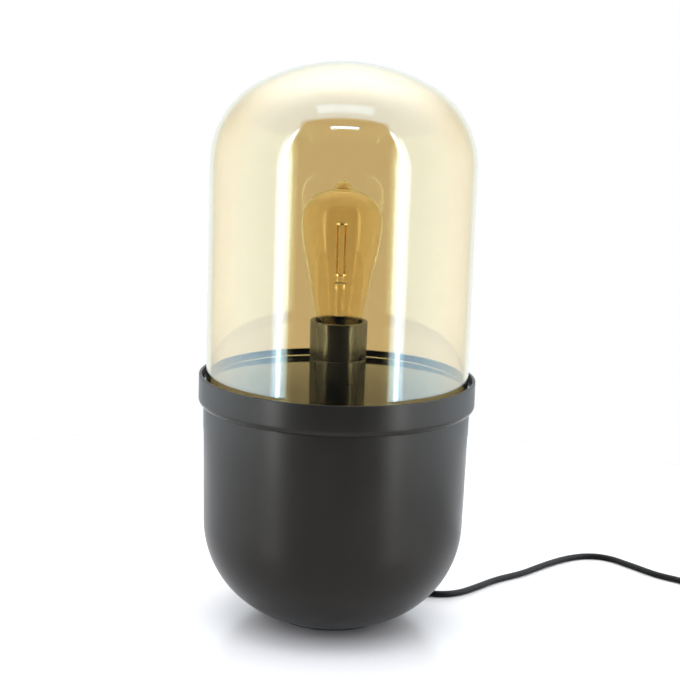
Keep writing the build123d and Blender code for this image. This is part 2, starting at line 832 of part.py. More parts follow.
def bowl_reach(height):
    """Radius of the bowl's outside at a height in its round base."""
    return round_r + sqrt(base_round**2 - (round_z - height) ** 2)


flange_y = bowl_reach(exit_z + relief_flange_r) + relief_lip
relief_tip_y = flange_y + relief_len
block_y = bowl_reach(exit_z) - bowl_t - relief_in
with BuildPart() as relief_outside:
    with BuildSketch(exit_plane.offset(foot_r)):
        Circle(relief_flange_r)
    extrude(amount=flange_y - foot_r)
    fillet(relief_outside.edges().group_by(Axis.Y)[-1], relief_round)
    with BuildSketch(exit_plane.offset(foot_r)):
        Circle(relief_root_r)
    with BuildSketch(exit_plane.offset(relief_tip_y)):
        Circle(relief_tip_r)
    loft()
    add(bowl_core(-slip), mode=Mode.SUBTRACT)
with BuildPart() as relief_inside:
    with BuildSketch(exit_plane.offset(block_y)):
        Circle(relief_flange_r)
    extrude(amount=flange_y - block_y)
    add(bowl_core(bowl_t + slip), mode=Mode.INTERSECT)
with BuildPart() as strain_relief:
    add(relief_outside.part)
    add(relief_inside.part)
    with BuildSketch(exit_plane.offset(block_y)):
        Circle(relief_neck_r)
    extrude(amount=flange_y - block_y)
    with BuildSketch(exit_plane.offset(block_y)):
        Circle(cord_r + slip)
    extrude(amount=relief_tip_y - block_y, mode=Mode.SUBTRACT)
write(strain_relief, "strain_relief")

# Lead inside the lamp, with its saddle clip on the ballast plate
tube([(0, relief_tip_y, exit_z), *inside_route, (0, 0, lead_top)], cord_r, "inner_lead")
clip_z = inside_route[1][2]
clip_plane = Plane.XZ.offset(-clip_y - clip_d / 2)
with BuildPart() as cord_clip:
    with BuildSketch(clip_plane):
        with Locations((0, ballast_top + clip_t / 2)):
            Rectangle(clip_w, clip_t)
        with Locations((0, clip_z)):
            Circle(cord_r + slip + clip_t)
        with Locations((0, (ballast_top + clip_z) / 2)):
            Rectangle(2 * (cord_r + slip + clip_t), clip_z - ballast_top)
            Rectangle(2 * (cord_r + slip), clip_z - ballast_top, mode=Mode.SUBTRACT)
        with Locations((0, clip_z)):
            Circle(cord_r + slip, mode=Mode.SUBTRACT)
        with Locations((0, ballast_top - cord_r)):
            Rectangle(clip_w, 2 * cord_r, mode=Mode.SUBTRACT)
    extrude(amount=clip_d)
    with BuildSketch(Plane.XY.offset(ballast_top)):
        with Locations((-clip_screw_x, clip_y), (clip_screw_x, clip_y)):
            Circle(clip_screw_r + slip)
    extrude(amount=clip_t, mode=Mode.SUBTRACT)
write(cord_clip, "cord_clip")

with BuildPart() as clip_screws:
    clip_top = ballast_top + clip_t
    with BuildSketch(Plane.XY.offset(clip_top)):
        with Locations((-clip_screw_x, clip_y), (clip_screw_x, clip_y)):
            Circle(clip_head_r)
    extrude(amount=clip_head_t)
    fillet(clip_screws.edges().group_by(Axis.Z)[-1], clip_head_round)
    with BuildSketch(Plane.XY.offset(clip_top)):
        with Locations((-clip_screw_x, clip_y), (clip_screw_x, clip_y)):
            Circle(clip_screw_r)
    extrude(amount=-clip_screw_len)
write(clip_screws, "clip_screws")

# Lead on the floor, from the strain relief to the switch
switch_u = Vector(*switch_way, 0)
switch_v = Vector(-switch_way[1], switch_way[0], 0)
length_lead = tube([(0, relief_tip_y, exit_z), *floor_route], cord_r, "cord_lead")


def switch_plane(height):
    """Level plane of the switch, with x along it and y across it."""
    return Plane(origin=(*switch_place, height), x_dir=switch_u, z_dir=(0, 0, 1))


# Across the switch, through the middle of its lead: x runs across it and y up
entry_plane = Plane(origin=(*switch_place, switch_split), x_dir=switch_v, z_dir=switch_u)
# Along the switch, through the middle of the rocker's pin
pin_plane = Plane(origin=(*switch_place, rocker_z), x_dir=switch_u, z_dir=switch_v)
clamp_low = switch_split - cord_r - slip
clamp_high = switch_split + cord_r + slip


def switch_halves_sketch(inset):
    """Outline of the switch, seen from above, at a depth below its outside."""
    RectangleRounded(switch_len - 2 * inset, switch_wid - 2 * inset, switch_corner - inset)


with BuildPart() as switch_base:
    with BuildSketch(switch_plane(0)):
        switch_halves_sketch(0)
    extrude(amount=switch_split)
    fillet(switch_base.edges().group_by(Axis.Z)[0], switch_wall / 2)
    with BuildSketch(switch_plane(switch_wall)):
        switch_halves_sketch(switch_wall)
    extrude(amount=switch_split - switch_wall, mode=Mode.SUBTRACT)
    with BuildSketch(switch_plane(switch_wall)):
        with Locations((-saddle_u, 0), (saddle_u, 0)):
            Rectangle(saddle_len, saddle_w)
    extrude(amount=clamp_low - switch_wall + cord_r)
    with BuildSketch(switch_plane(switch_wall)):
        with Locations((-post_u, post_v), (post_u, -post_v)):
            Circle(post_r)
    extrude(amount=switch_split - switch_wall)
    with BuildSketch(switch_plane(0)):
        with Locations((-post_u, post_v), (post_u, -post_v)):
            Circle(switch_screw_r + slip)
    extrude(amount=switch_split, mode=Mode.SUBTRACT)
    with BuildSketch(switch_plane(0)):
        with Locations((-post_u, post_v), (post_u, -post_v)):
            Circle(switch_head_r + slip)
    extrude(amount=switch_head_t + slip, mode=Mode.SUBTRACT)
    with BuildSketch(entry_plane):
        Circle(cord_r + slip)
    extrude(amount=switch_len, both=True, mode=Mode.SUBTRACT)
write(switch_base, "switch_base")

ear_v = rocker_w / 2 + ear_t / 2
with BuildPart() as switch_cover:
    with BuildSketch(switch_plane(switch_split)):
        switch_halves_sketch(0)
    extrude(amount=switch_top - switch_split)
    fillet(switch_cover.edges().group_by(Axis.Z)[-1], switch_edge)
    with BuildSketch(switch_plane(switch_split)):
        switch_halves_sketch(switch_wall)
    extrude(amount=switch_top - switch_wall - switch_split, mode=Mode.SUBTRACT)
    with BuildSketch(switch_plane(switch_top - switch_wall)):
        with Locations((-saddle_u, 0), (saddle_u, 0)):
            Rectangle(saddle_len, saddle_w)
    extrude(amount=clamp_high - cord_r - switch_top + switch_wall)
    with BuildSketch(switch_plane(switch_split)):
        with Locations((-post_u, post_v), (post_u, -post_v)):
            Circle(post_r)
    extrude(amount=switch_top - switch_wall - switch_split)
    with BuildSketch(switch_plane(switch_split)):
        with Locations((-post_u, post_v), (post_u, -post_v)):
            Circle(switch_screw_r + thread_fit)
    extrude(amount=switch_screw_len + switch_head_t + slip - switch_split, mode=Mode.SUBTRACT)
    with BuildSketch(entry_plane):
        Circle(cord_r + slip)
    extrude(amount=switch_len, both=True, mode=Mode.SUBTRACT)
    with BuildSketch(switch_plane(switch_top)):
        Rectangle(2 * (rocker_reach + rocker_gap), rocker_w)
    extrude(amount=-switch_wall, mode=Mode.SUBTRACT)
    with BuildSketch(switch_plane(rocker_z - ear_low)):
        with Locations((0, -ear_v), (0, ear_v)):
            Rectangle(ear_w, ear_t)
    extrude(amount=switch_top - switch_wall - rocker_z + ear_low)
    with BuildSketch(pin_plane):
        Circle(rocker_pin_r + run_fit)
    extrude(amount=rocker_w / 2 + ear_t, both=True, mode=Mode.SUBTRACT)
write(switch_cover, "switch_cover")

with BuildPart() as switch_screws:
    with BuildSketch(switch_plane(slip)):
        with Locations((-post_u, post_v), (post_u, -post_v)):
            Circle(switch_head_r)
    extrude(amount=switch_head_t)
    with BuildSketch(switch_plane(slip)):
        with Locations((-post_u, post_v), (post_u, -post_v)):
            Circle(switch_screw_r)
    extrude(amount=switch_head_t + switch_screw_len - 2 * slip)
    with BuildSketch(switch_plane(slip)):
        with Locations((-post_u, post_v), (post_u, -post_v)):
            Rectangle(switch_slot_len, switch_slot_w)
            Rectangle(switch_slot_w, switch_slot_len)
    extrude(amount=switch_slot_d, mode=Mode.SUBTRACT)
write(switch_screws, "switch_screws")

# Rocker, drawn in its own frame, which is tilted: the end nearer the plug stands up when it is off
tilt = radians(rocker_tilt)
rocker_u = switch_u * cos(tilt) + Vector(0, 0, sin(tilt))
rocker_plane = Plane(origin=(*switch_place, rocker_z), x_dir=rocker_u, z_dir=-switch_v)
end_u = sqrt(rocker_reach**2 - rocker_end_h**2)
low_u = sqrt(rocker_reach**2 - rocker_low**2)
with BuildPart() as switch_rocker:
    with BuildSketch(rocker_plane):
        with BuildLine():
            ThreePointArc((-low_u, -rocker_low), (-rocker_reach, 0), (-end_u, rocker_end_h))
            ThreePointArc((-end_u, rocker_end_h), (0, rocker_mid_h), (end_u, rocker_end_h))
            ThreePointArc((end_u, rocker_end_h), (rocker_reach, 0), (low_u, -rocker_low))
            Line((low_u, -rocker_low), (-low_u, -rocker_low))
        make_face()
        Circle(rocker_pin_r + run_fit, mode=Mode.SUBTRACT)
    extrude(amount=rocker_w / 2 - rocker_gap, both=True)
    with BuildSketch(rocker_plane):
        with Locations((leg_u, -rocker_low - leg_h / 2)):
            Rectangle(leg_len, leg_h)
    extrude(amount=leg_w / 2, both=True)
write(switch_rocker, "switch_rocker")

with BuildPart() as contact_bridge:
    with BuildSketch(rocker_plane):
        with Locations((leg_u, -rocker_low - leg_h - bridge_strip / 2)):
            Rectangle(leg_len, bridge_strip)
    extrude(amount=bridge_len / 2, both=True)
write(contact_bridge, "contact_bridge")

with BuildPart() as rocker_pin:
    with BuildSketch(pin_plane):
        Circle(rocker_pin_r)
    extrude(amount=rocker_w / 2 + ear_t, both=True)
write(rocker_pin, "rocker_pin")

# Two fixed contacts under the rocker's contact end, and the wires between the two leads
contact_mid = contact_u + contact_len / 2
with BuildPart() as switch_contacts:
    with BuildSketch(switch_plane(switch_wall)):
        with Locations((contact_mid, -contact_v), (contact_mid, contact_v)):
            Rectangle(contact_len, contact_w)
    extrude(amount=contact_top - switch_wall)
    with BuildSketch(Plane(origin=(*switch_place, contact_wire_z), x_dir=switch_v, z_dir=switch_u)):
        with Locations((-contact_v, 0), (contact_v, 0)):
            Circle(wire_r + thread_fit)
    extrude(amount=contact_u + contact_len, mode=Mode.SUBTRACT)
write(switch_contacts, "switch_contacts")


def in_switch(along, across, height):
    """A point of the room, given along the switch, across it and above the floor."""
    place = Vector(*switch_place, height) + switch_u * along + switch_v * across
    return place.X, place.Y, place.Z


wire_turn = sheath_u - wire_run
for sign, name in ((-1, "switch_wire_in"), (1, "switch_wire_out")):
    wire_end = contact_mid + sign * (contact_len / 2 - block_bite)
    inner_wire(
        [
            in_switch(sign * sheath_u, -sign * wire_x, switch_split),
            in_switch(sign * wire_turn, -sign * wire_x, switch_split),
            in_switch(sign * (wire_turn - wire_fall), -sign * contact_v, contact_wire_z),
            in_switch(wire_end, -sign * contact_v, contact_wire_z),
        ],
        wire_bend, name,
    )
wire_down = wire_turn - through_fall
inner_wire(
    [
        in_switch(-sheath_u, -wire_x, switch_split), in_switch(-wire_turn, -wire_x, switch_split),
        in_switch(-wire_down, 0, contact_wire_z), in_switch(wire_down, 0, contact_wire_z),
        in_switch(wire_turn, wire_x, switch_split), in_switch(sheath_u, wire_x, switch_split),
    ],
    wire_bend, "switch_wire_through",
)

# Coil: two layers of turns. The lower one winds in, the middle half turn climbs, the upper one winds out
coil_step = (2 * cord_r + coil_gap) / 2
coil_halves = 2 * coil_turns


def coil_stop(count):
    """The point where a half turn of the coil begins, counted from the lead's side."""
    climbs = count in (coil_halves, coil_halves + 1)
    steps = coil_halves - count if count < coil_halves else count - coil_halves - 1
    reach = coil_in_r - coil_dip if climbs else coil_in_r + steps * coil_step
    side = reach if count % 2 == 0 else -reach
    height = cord_r if count <= coil_halves else cord_r + 2 * coil_step
    return Vector(coil_place[0] + side, coil_place[1], height)


coil_in = coil_stop(0) + Vector(0, 2 * cord_r, 0)
coil_out = coil_stop(2 * coil_halves) - Vector(0, 2 * cord_r, 0)
with BuildPart() as cord_coil:
    with BuildLine() as coil_path:
        Line(coil_in, coil_stop(0))
        for count in range(2 * coil_halves):
            here = coil_stop(count)
            there = coil_stop(count + 1)
            bulge = (there - here).length / 2
            middle = (here + there) * 0.5 + Vector(0, bulge if count % 2 else -bulge, 0)
            ThreePointArc(here, middle, there)
        Line(coil_stop(2 * coil_halves), coil_out)
    with BuildSketch(Plane(origin=coil_in, z_dir=(0, -1, 0))):
        Circle(cord_r)
    sweep(path=coil_path.wires()[0])
coil_wire = coil_path.wires()[0]
length_coil = coil_wire.length
samples = [coil_wire.position_at(k / round(length_coil)) for k in range(round(length_coil) + 1)]
places = [(p.X, p.Y, p.Z) for p in samples]
same_stretch = round(6 * cord_r)
least = min(
    (x - u) ** 2 + (y - v) ** 2 + (z - w) ** 2
    for k, (x, y, z) in enumerate(places)
    for u, v, w in places[k + same_stretch:]
)
share = cord_coil.part.volume / (pi * cord_r**2 * length_coil)
print(f"cord_coil: {length_coil:.0f} mm long, {share:.4f} of section times length")
print(f"cord_coil: least gap to itself {sqrt(least) - 2 * cord_r:.2f} mm")
write(cord_coil, "cord_coil")

# Lead from the switch to the coil, and from the coil to the plug
link_last = (coil_stop(0).X, link_last_y, cord_r)
length_link = tube([*link_route, link_last, tuple(coil_in)], cord_r, "cord_link")
plug_z = plug_t / 2
tail_points = [
    tuple(coil_out), tuple(coil_out - Vector(0, tail_run, 0)),
    (plug_x, tail_drop_y, plug_z), (plug_x, plug_tip_y, plug_z),
]
length_tail = tube(tail_points, cord_r, "cord_tail")
length_free = length_lead + length_link + length_coil + length_tail
print(f"free lead: {length_free:.0f} mm without the stretch inside the switch")

# Plug: a flat moulding that lies on the floor, with a sleeve for the lead and two pins, whose first
# stretch is in an insulating sleeve of the same moulding
plug_back_y = plug_tip_y - plug_sleeve_len
plug_face_y = plug_back_y - plug_len
pin_sleeve_y = plug_face_y - pin_sleeve_len


def plug_plane(place_y):
    """Upright plane across the plug at a place along it, facing the lead."""
    return Plane(origin=(plug_x, place_y, plug_z), x_dir=(1, 0, 0), z_dir=(0, 1, 0))


with BuildPart() as plug_body:
    with BuildSketch():
        with BuildLine():
            Polyline(
                (plug_x, plug_face_y), (plug_x + plug_face_w / 2, plug_face_y),
                (plug_x + plug_face_w / 2, plug_face_y + plug_face_len),
                (plug_x + plug_grip_w / 2, plug_face_y + plug_grip_low),
                (plug_x + plug_grip_w / 2, plug_face_y + plug_grip_high),
                (plug_x + plug_neck_w / 2, plug_back_y), (plug_x, plug_back_y), close=True,
            )
        make_face()
        mirror(about=Plane.YZ.offset(plug_x))
    extrude(amount=plug_t)
    with BuildSketch(Plane.YZ.offset(plug_x)):
        with BuildLine():
            Polyline(
                (plug_face_y, 0), (plug_face_y + plug_grip_high, 0),
                (plug_back_y, plug_z - plug_neck_t / 2), (plug_back_y, plug_z + plug_neck_t / 2),
                (plug_face_y + plug_grip_high, plug_t), (plug_face_y, plug_t), close=True,
            )
        make_face()
    extrude(amount=plug_grip_w, both=True, mode=Mode.INTERSECT)
    fillet(plug_body.edges().filter_by(lambda e: abs(e.tangent_at(0.5).Z) < 0.9), plug_edge)
    with BuildSketch(plug_plane(plug_back_y)):
        Circle(plug_sleeve_r)
    with BuildSketch(plug_plane(plug_tip_y)):
        Circle(relief_tip_r)
    loft()
    with BuildSketch(plug_plane(pin_sleeve_y)):
        with Locations((-pin_gap / 2, 0), (pin_gap / 2, 0)):
            Circle(pin_r)
    extrude(amount=pin_sleeve_len + pin_in)
    with BuildSketch(plug_plane(pin_sleeve_y)):
        with Locations((-pin_gap / 2, 0), (pin_gap / 2, 0)):
            Circle(pin_root_r + thread_fit)
    extrude(amount=pin_sleeve_len + pin_in, mode=Mode.SUBTRACT)
write(plug_body, "plug_body")

with BuildPart() as plug_pins:
    with BuildSketch(plug_plane(plug_face_y - pin_len)):
        with Locations((-pin_gap / 2, 0), (pin_gap / 2, 0)):
            Circle(pin_r)
    extrude(amount=pin_len - pin_sleeve_len)
    fillet(plug_pins.edges().group_by(Axis.Y)[0], pin_round)
    with BuildSketch(plug_plane(pin_sleeve_y)):
        with Locations((-pin_gap / 2, 0), (pin_gap / 2, 0)):
            Circle(pin_root_r)
    extrude(amount=pin_sleeve_len + pin_in)
write(plug_pins, "plug_pins")
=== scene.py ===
"""Looks of a table lamp with a glass dome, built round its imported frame.

Pieces are drawn in millimetres and made in metres, +Z up, with the origin on the floor under the
lamp's axis. The viewer stands towards -Y, and the mains lead lies to the right.
"""

import logging
import math
from collections.abc import Callable
from dataclasses import dataclass
from enum import Enum

import bmesh
import bpy
from bmesh.types import BMesh, BMVert
from bpy.types import Material, Node, NodeSocket, NodeTree, Object
from mathutils import Matrix, Quaternion, Vector


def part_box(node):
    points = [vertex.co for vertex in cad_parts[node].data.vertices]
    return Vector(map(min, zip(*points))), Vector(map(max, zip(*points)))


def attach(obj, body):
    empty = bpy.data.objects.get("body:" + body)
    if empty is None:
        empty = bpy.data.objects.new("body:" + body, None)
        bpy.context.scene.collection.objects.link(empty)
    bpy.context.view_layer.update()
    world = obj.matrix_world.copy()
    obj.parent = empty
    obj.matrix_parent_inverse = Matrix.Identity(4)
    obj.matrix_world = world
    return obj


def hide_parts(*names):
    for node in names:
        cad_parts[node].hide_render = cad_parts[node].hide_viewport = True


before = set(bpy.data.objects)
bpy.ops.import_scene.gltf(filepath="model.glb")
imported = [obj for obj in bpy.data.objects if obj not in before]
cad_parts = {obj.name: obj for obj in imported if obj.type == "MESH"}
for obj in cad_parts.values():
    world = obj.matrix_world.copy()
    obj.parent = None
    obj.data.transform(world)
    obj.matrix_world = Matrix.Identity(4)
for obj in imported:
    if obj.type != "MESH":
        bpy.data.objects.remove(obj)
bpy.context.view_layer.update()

log = logging.getLogger("table_lamp")

MM = 0.001
# a point nearer the axis than this, in millimetres, lies on it
ON_AXIS = 1e-6
# points nearer each other than this, in millimetres, are one
MERGE = 1e-5
# edges that turn by more degrees than this stay sharp: on most pieces, and on glass and threads
CREASE = 32.0
SOFT_CREASE = 60.0

Pair = tuple[float, float]
Section = list[Pair]
Triple = tuple[float, float, float]


class Body(Enum):
    """The bodies that the pieces made here ride on."""

    BASE = "base"
    DOME = "dome"
    BULB = "bulb"


# Outlines and turned meshes


def span(node: str) -> tuple[Vector, Vector]:
    """Lowest and highest corner of a node of the frame.

    Args:
        node: name of the node.

    Returns:
        The two corners, in millimetres.
    """
    low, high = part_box(node)
    return low / MM, high / MM


def tangent_arc(start: Pair, way: Pair, end: Pair, steps: int) -> Section:
    """Points of the arc that leaves a point in a given direction and ends at another point.

    Args:
        start: first point, left out of the result.
        way: direction of the arc at its start.
        end: last point.
        steps: number of chords.

    Returns:
        The points after the start, the end among them.
    """
    way_x, way_y = Vector(way).normalized()
    normal = Vector((-way_y, way_x))
    chord = Vector(end) - Vector(start)
    radius = chord.length_squared / (2 * chord.dot(normal))
    centre = Vector(start) + normal * radius
    first = math.atan2(start[1] - centre.y, start[0] - centre.x)
    last = math.atan2(end[1] - centre.y, end[0] - centre.x)
    turn = (last - first) % math.tau if radius > 0 else -((first - last) % math.tau)
    return [
        (
            centre.x + abs(radius) * math.cos(first + turn * k / steps),
            centre.y + abs(radius) * math.sin(first + turn * k / steps),
        )
        for k in range(1, steps + 1)
    ]


def rounded(corners: list[Triple], steps: int = 6) -> Section:
    """A closed outline whose corners are rounded.

    Args:
        corners: radius from the axis, height and rounding of each corner, in order.
        steps: chords of each rounded corner.

    Returns:
        The outline's points.
    """
    outline: Section = []
    for index, (x, y, rounding) in enumerate(corners):
        at = Vector((x, y))
        if rounding <= 0:
            outline.append((x, y))
            continue
        back = Vector(corners[index - 1][:2]) - at
        ahead = Vector(corners[(index + 1) % len(corners)][:2]) - at
        reach = rounding / math.tan(back.angle(ahead) / 2)
        start = at + back.normalized() * reach
        end = at + ahead.normalized() * reach
        outline.append(tuple(start))
        outline += tangent_arc(tuple(start), tuple(-back), tuple(end), steps)
    return outline


def stepped(section: Section, step: float = 6.0, margin: float = 0.3) -> Section:
    """An open outline whose long straight stretches are cut into steps.

    Smooth shading then stays true along a glass wall, and the wall bends nothing seen through it.

    Args:
        section: the outline.
        step: longest stretch that is left whole.
        margin: length of the short step at each end of a long stretch.

    Returns:
        The outline with the steps.
    """
    result = [section[0]]
    for start, end in zip(section, section[1:]):
        length = math.dist(start, end)
        count = math.ceil(length / step)
        shares = [k / count for k in range(1, count)]
        if shares:
            shares = [margin / length, *shares, 1 - margin / length]
        result += [tuple(Vector(start).lerp(Vector(end), share)) for share in shares]
        result.append(end)
    return result


def inset(section: Section, depth: float) -> Section:
    """An open outline moved to its left, with points on the axis kept on it.

    Args:
        section: the outline.
        depth: how far it is moved.

    Returns:
        The moved outline.
    """
    moved: Section = []
    for index, (x, y) in enumerate(section):
        before = Vector(section[max(index - 1, 0)])
        after = Vector(section[min(index + 1, len(section) - 1)])
        way = (after - before).normalized()
        shift = Vector((-way.y, way.x)) * depth
        moved.append((0.0, y - depth) if x < ON_AXIS else (x + shift.x, y + shift.y))
    return moved


def finished(name: str, work: BMesh, crease: float = CREASE) -> Object:
    """Turns a working mesh into a smooth-shaded object at the origin.

    Args:
        name: the piece's name.
        work: the mesh, in millimetres, which is freed.
        crease: edges that turn by more than this many degrees stay sharp.

    Returns:
        The new object.
    """
    bmesh.ops.remove_doubles(work, verts=work.verts, dist=MERGE)
    bmesh.ops.recalc_face_normals(work, faces=work.faces)
    bmesh.ops.scale(work, vec=(MM, MM, MM), verts=work.verts)
    mesh = bpy.data.meshes.new(name)
    work.to_mesh(mesh)
    work.free()
    mesh.shade_smooth()
    mesh.set_sharp_from_angle(angle=math.radians(crease))
    piece = bpy.data.objects.new(name, mesh)
    bpy.context.scene.collection.objects.link(piece)
    return piece


def skin(work: BMesh, rings: list[list[BMVert]], closed: bool = True) -> None:
    """Adds the faces between rings of points to a working mesh.

    Args:
        work: the mesh that they are added to.
        rings: the rings, all with the same number of points, or with one point at a tip.
        closed: joins the last ring to the first.
    """
    for low, high in zip(rings, rings[1:] + rings[:1] if closed else rings[1:]):
        sides = max(len(low), len(high))
        if sides == 1:
            continue
        for here in range(sides):
            after = here + 1
            around = (
                low[here % len(low)], low[after % len(low)], high[after % len(high)],
                high[here % len(high)],
            )
            work.faces.new(list(dict.fromkeys(around)))


def turn_into(work: BMesh, section: Section, segments: int, closed: bool = True,
              rise: Callable[[float, float], float] = lambda angle, height: 0.0) -> None:
    """Adds a surface turned about the Z axis to a working mesh.

    Args:
        work: the mesh that it is added to.
        section: radius and height of each point of the outline.
        segments: number of steps round the axis.
        closed: joins the last point to the first.
        rise: how far it stands out from the outline, by angle and height.
    """
    angles = [math.tau * k / segments for k in range(segments)]
    rings = []
    for radius, height in section:
        if radius < ON_AXIS:
            rings.append([work.verts.new((0, 0, height))])
            continue
        reaches = [radius + rise(angle, height) for angle in angles]
        rings.append([
            work.verts.new((reach * math.cos(angle), reach * math.sin(angle), height))
            for angle, reach in zip(angles, reaches)
        ])
    skin(work, rings, closed)


def axis_place(origin: Vector, way: Vector) -> Matrix:
    """A matrix that stands the lamp's axis at a point, along a direction."""
    return Matrix.Translation(origin) @ way.to_track_quat("Z", "Y").to_matrix().to_4x4()


@dataclass
class Thread:
    """A right-hand knuckle thread, as rolled into the lamp's cap and the holder's shell.

    It runs out to its root at both ends, or, where it is wide, to its crest.
    """

    pitch: float = 25.4 / 7
    depth: float = 0.55
    run_out: float = 2.0
    wide: bool = False
    segments: int = 96
    rings_per_turn: int = 10

    def rise(self, angle: float, height: float, low: float, high: float) -> float:
        """How far the thread stands out, from 0 at its root to its depth at its crest.

        Args:
            angle: place round the axis, in radians.
            height: height above the floor.
            low: where the thread begins.
            high: where it ends.

        Returns:
            The height of the thread there.
        """
        inside = max(0.0, min(1.0, (height - low) / self.run_out, (high - height) / self.run_out))
        wave = 0.5 + 0.5 * math.cos(math.tau * height / self.pitch - angle)
        return self.depth * (1 - inside * (1 - wave) if self.wide else inside * wave)

    def sleeve(self, below: Section, radius: float, wall: float, low: float, high: float,
               top: float) -> BMesh:
        """A thin threaded sleeve.

        Args:
            below: outline under the thread, from the outside's lowest point up.
            radius: outside radius at the thread's root.
            wall: thickness of the metal.
            low: where the thread begins.
            high: where it ends.
            top: the sleeve's upper edge.

        Returns:
            The working mesh.
        """
        count = math.ceil((high - low) / (self.pitch / self.rings_per_turn))
        heights = [low + (high - low) * k / count for k in range(count + 1)]
        outside = [*below, *((radius, height) for height in heights), (radius, top)]
        work = bmesh.new()
        turn_into(
            work, [*outside, *reversed(inset(outside, wall))], self.segments,
            rise=lambda angle, height: self.rise(angle, height, low, high),
        )
        return work


# Node trees


class Mix(Enum):
    """What a Mix node blends, with the places of its first input and of its output."""

    FLOAT = (2, 0)
    VECTOR = (4, 1)
    RGBA = (6, 2)


class Wiring:
    """A node tree under construction."""

    def __init__(self, tree: NodeTree) -> None:
        """Starts with an empty tree."""
        self.tree = tree
        tree.nodes.clear()

    def put(self, value: object, socket: NodeSocket) -> None:
        """Links another node's output to a socket, or sets the socket to a plain value.

        Args:
            value: the output or the value.
            socket: where it goes.
        """
        if isinstance(value, NodeSocket):
            self.tree.links.new(value, socket)
        else:
            socket.default_value = value

    def add(self, kind: str, **values: object) -> Node:
        """Adds a node.

        Args:
            kind: the node's type.
            values: its properties by name, in lower case, and what goes into its inputs, by their
                names with a capital and with underscores for spaces.

        Returns:
            The new node.
        """
        node = self.tree.nodes.new(kind)
        for name, value in values.items():
            if name[0].isupper():
                self.put(value, node.inputs[name.replace("_", " ")])
            else:
                setattr(node, name, value)
        return node

    def math(self, operation: str, *values: object) -> NodeSocket:
        """Adds one Math node, or a chain of them for more than two values.

        Args:
            operation: what it works out.
            values: the values or other nodes' outputs.

        Returns:
            The last node's output.
        """
        result = values[0]
        for value in values[1:] or (0.0,):
            node = self.add("ShaderNodeMath", operation=operation)
            self.put(result, node.inputs[0])
            self.put(value, node.inputs[1])
            result = node.outputs[0]
        return result

    def mix(self, kind: Mix, share: NodeSocket, first: object, second: object) -> NodeSocket:
        """Adds a Mix node.

        Args:
            kind: what it blends.
            share: the output that says how much of the second is taken.
            first: value, or another node's output.
            second: value, or another node's output.

        Returns:
            The output.
        """
        start, result = kind.value
        node = self.add("ShaderNodeMix", data_type=kind.name, clamp_factor=True)
        self.put(share, node.inputs[0])
        self.put(first, node.inputs[start])
        self.put(second, node.inputs[start + 1])
        return node.outputs[result]

    def step(self, value: NodeSocket, low: float, high: float, start: object = 0.0,
             end: object = 1.0) -> NodeSocket:
        """A smooth step of a value between two levels.

        Args:
            value: what is measured.
            low: where the step begins.
            high: where it ends.
            start: level before the step.
            end: level after it.

        Returns:
            The output.
        """
        ramp = self.add(
            "ShaderNodeMapRange", clamp=True, interpolation_type="SMOOTHSTEP", Value=value,
            From_Min=low, From_Max=high, To_Min=start, To_Max=end,
        )
        return ramp.outputs["Result"]

    def band(self, value: NodeSocket, middle: float, half: float, soft: float) -> NodeSocket:
        """A soft band of a value about a middle.

        Args:
            value: what is measured.
            middle: the band's middle.
            half: half of its width.
            soft: half of the width of its edges.

        Returns:
            The output, 1 inside the band.
        """
        away = self.math("ABSOLUTE", self.math("SUBTRACT", value, middle))
        return self.step(away, half - soft, half + soft, 1.0, 0.0)


def new_group(name: str, kind: str, inputs: dict[str, str], outputs: dict[str, str]) -> Wiring:
    """Starts a shared node group.

    Args:
        name: the group's name.
        kind: the tree's type.
        inputs: the inputs' names, with the kind of each.
        outputs: the outputs' names, with the kind of each.

    Returns:
        The group's tree under construction.
    """
    tree = bpy.data.node_groups.new(name, kind)
    for way, sockets in (("INPUT", inputs), ("OUTPUT", outputs)):
        for label, socket_kind in sockets.items():
            tree.interface.new_socket(label, in_out=way, socket_type=f"NodeSocket{socket_kind}")
    return Wiring(tree)


# Materials


def grain_group() -> NodeTree:
    """A shared group: fine grain over broad waves, as a height and as a mask of the broad waves.

    Returns:
        The group, which is built once.
    """
    name = "surface_grain"
    if name in bpy.data.node_groups:
        return bpy.data.node_groups[name]
    wiring = new_group(
        name, "ShaderNodeTree", {
            "Vector": "Vector", "Fine Scale": "Float", "Broad Scale": "Float", "Broad Share": "Float",
            "Spread": "Float",
        },
        {"Height": "Float", "Mask": "Float"},
    )
    given = wiring.add("NodeGroupInput").outputs
    fine, broad = (
        wiring.add(
            "ShaderNodeTexNoise", Vector=given["Vector"], Scale=given[scale], Detail=detail,
        ).outputs["Fac"]
        for scale, detail in (("Fine Scale", 2.0), ("Broad Scale", 4.0))
    )
    height = wiring.math("ADD", fine, wiring.math("MULTIPLY", broad, given["Broad Share"]))
    spread = wiring.math("MULTIPLY", wiring.math("SUBTRACT", broad, 0.5), given["Spread"])
    wiring.add("NodeGroupOutput", Height=height, Mask=wiring.math("ADD", spread, 0.5))
    return wiring.tree


@dataclass(frozen=True)
class Coating:
    """What all finishes share: a material's name, the name of its slot, and how it is built."""

    name: str
    slot: str

    def shader(self, wiring: Wiring, place: NodeSocket) -> Node:
        """Builds the shader, which each kind of finish does in its own way."""
        raise NotImplementedError

    def material(self) -> Material:
        """Builds the material, or finds it if it is there already.

        Returns:
            The material.
        """
        if self.name in bpy.data.materials:
            return bpy.data.materials[self.name]
        material = bpy.data.materials.new(self.name)
        material.use_nodes = True
        wiring = Wiring(material.node_tree)
        shader = self.shader(wiring, wiring.add("ShaderNodeTexCoord").outputs["Object"])
        wiring.add("ShaderNodeOutputMaterial", Surface=shader.outputs["BSDF"])
        return material


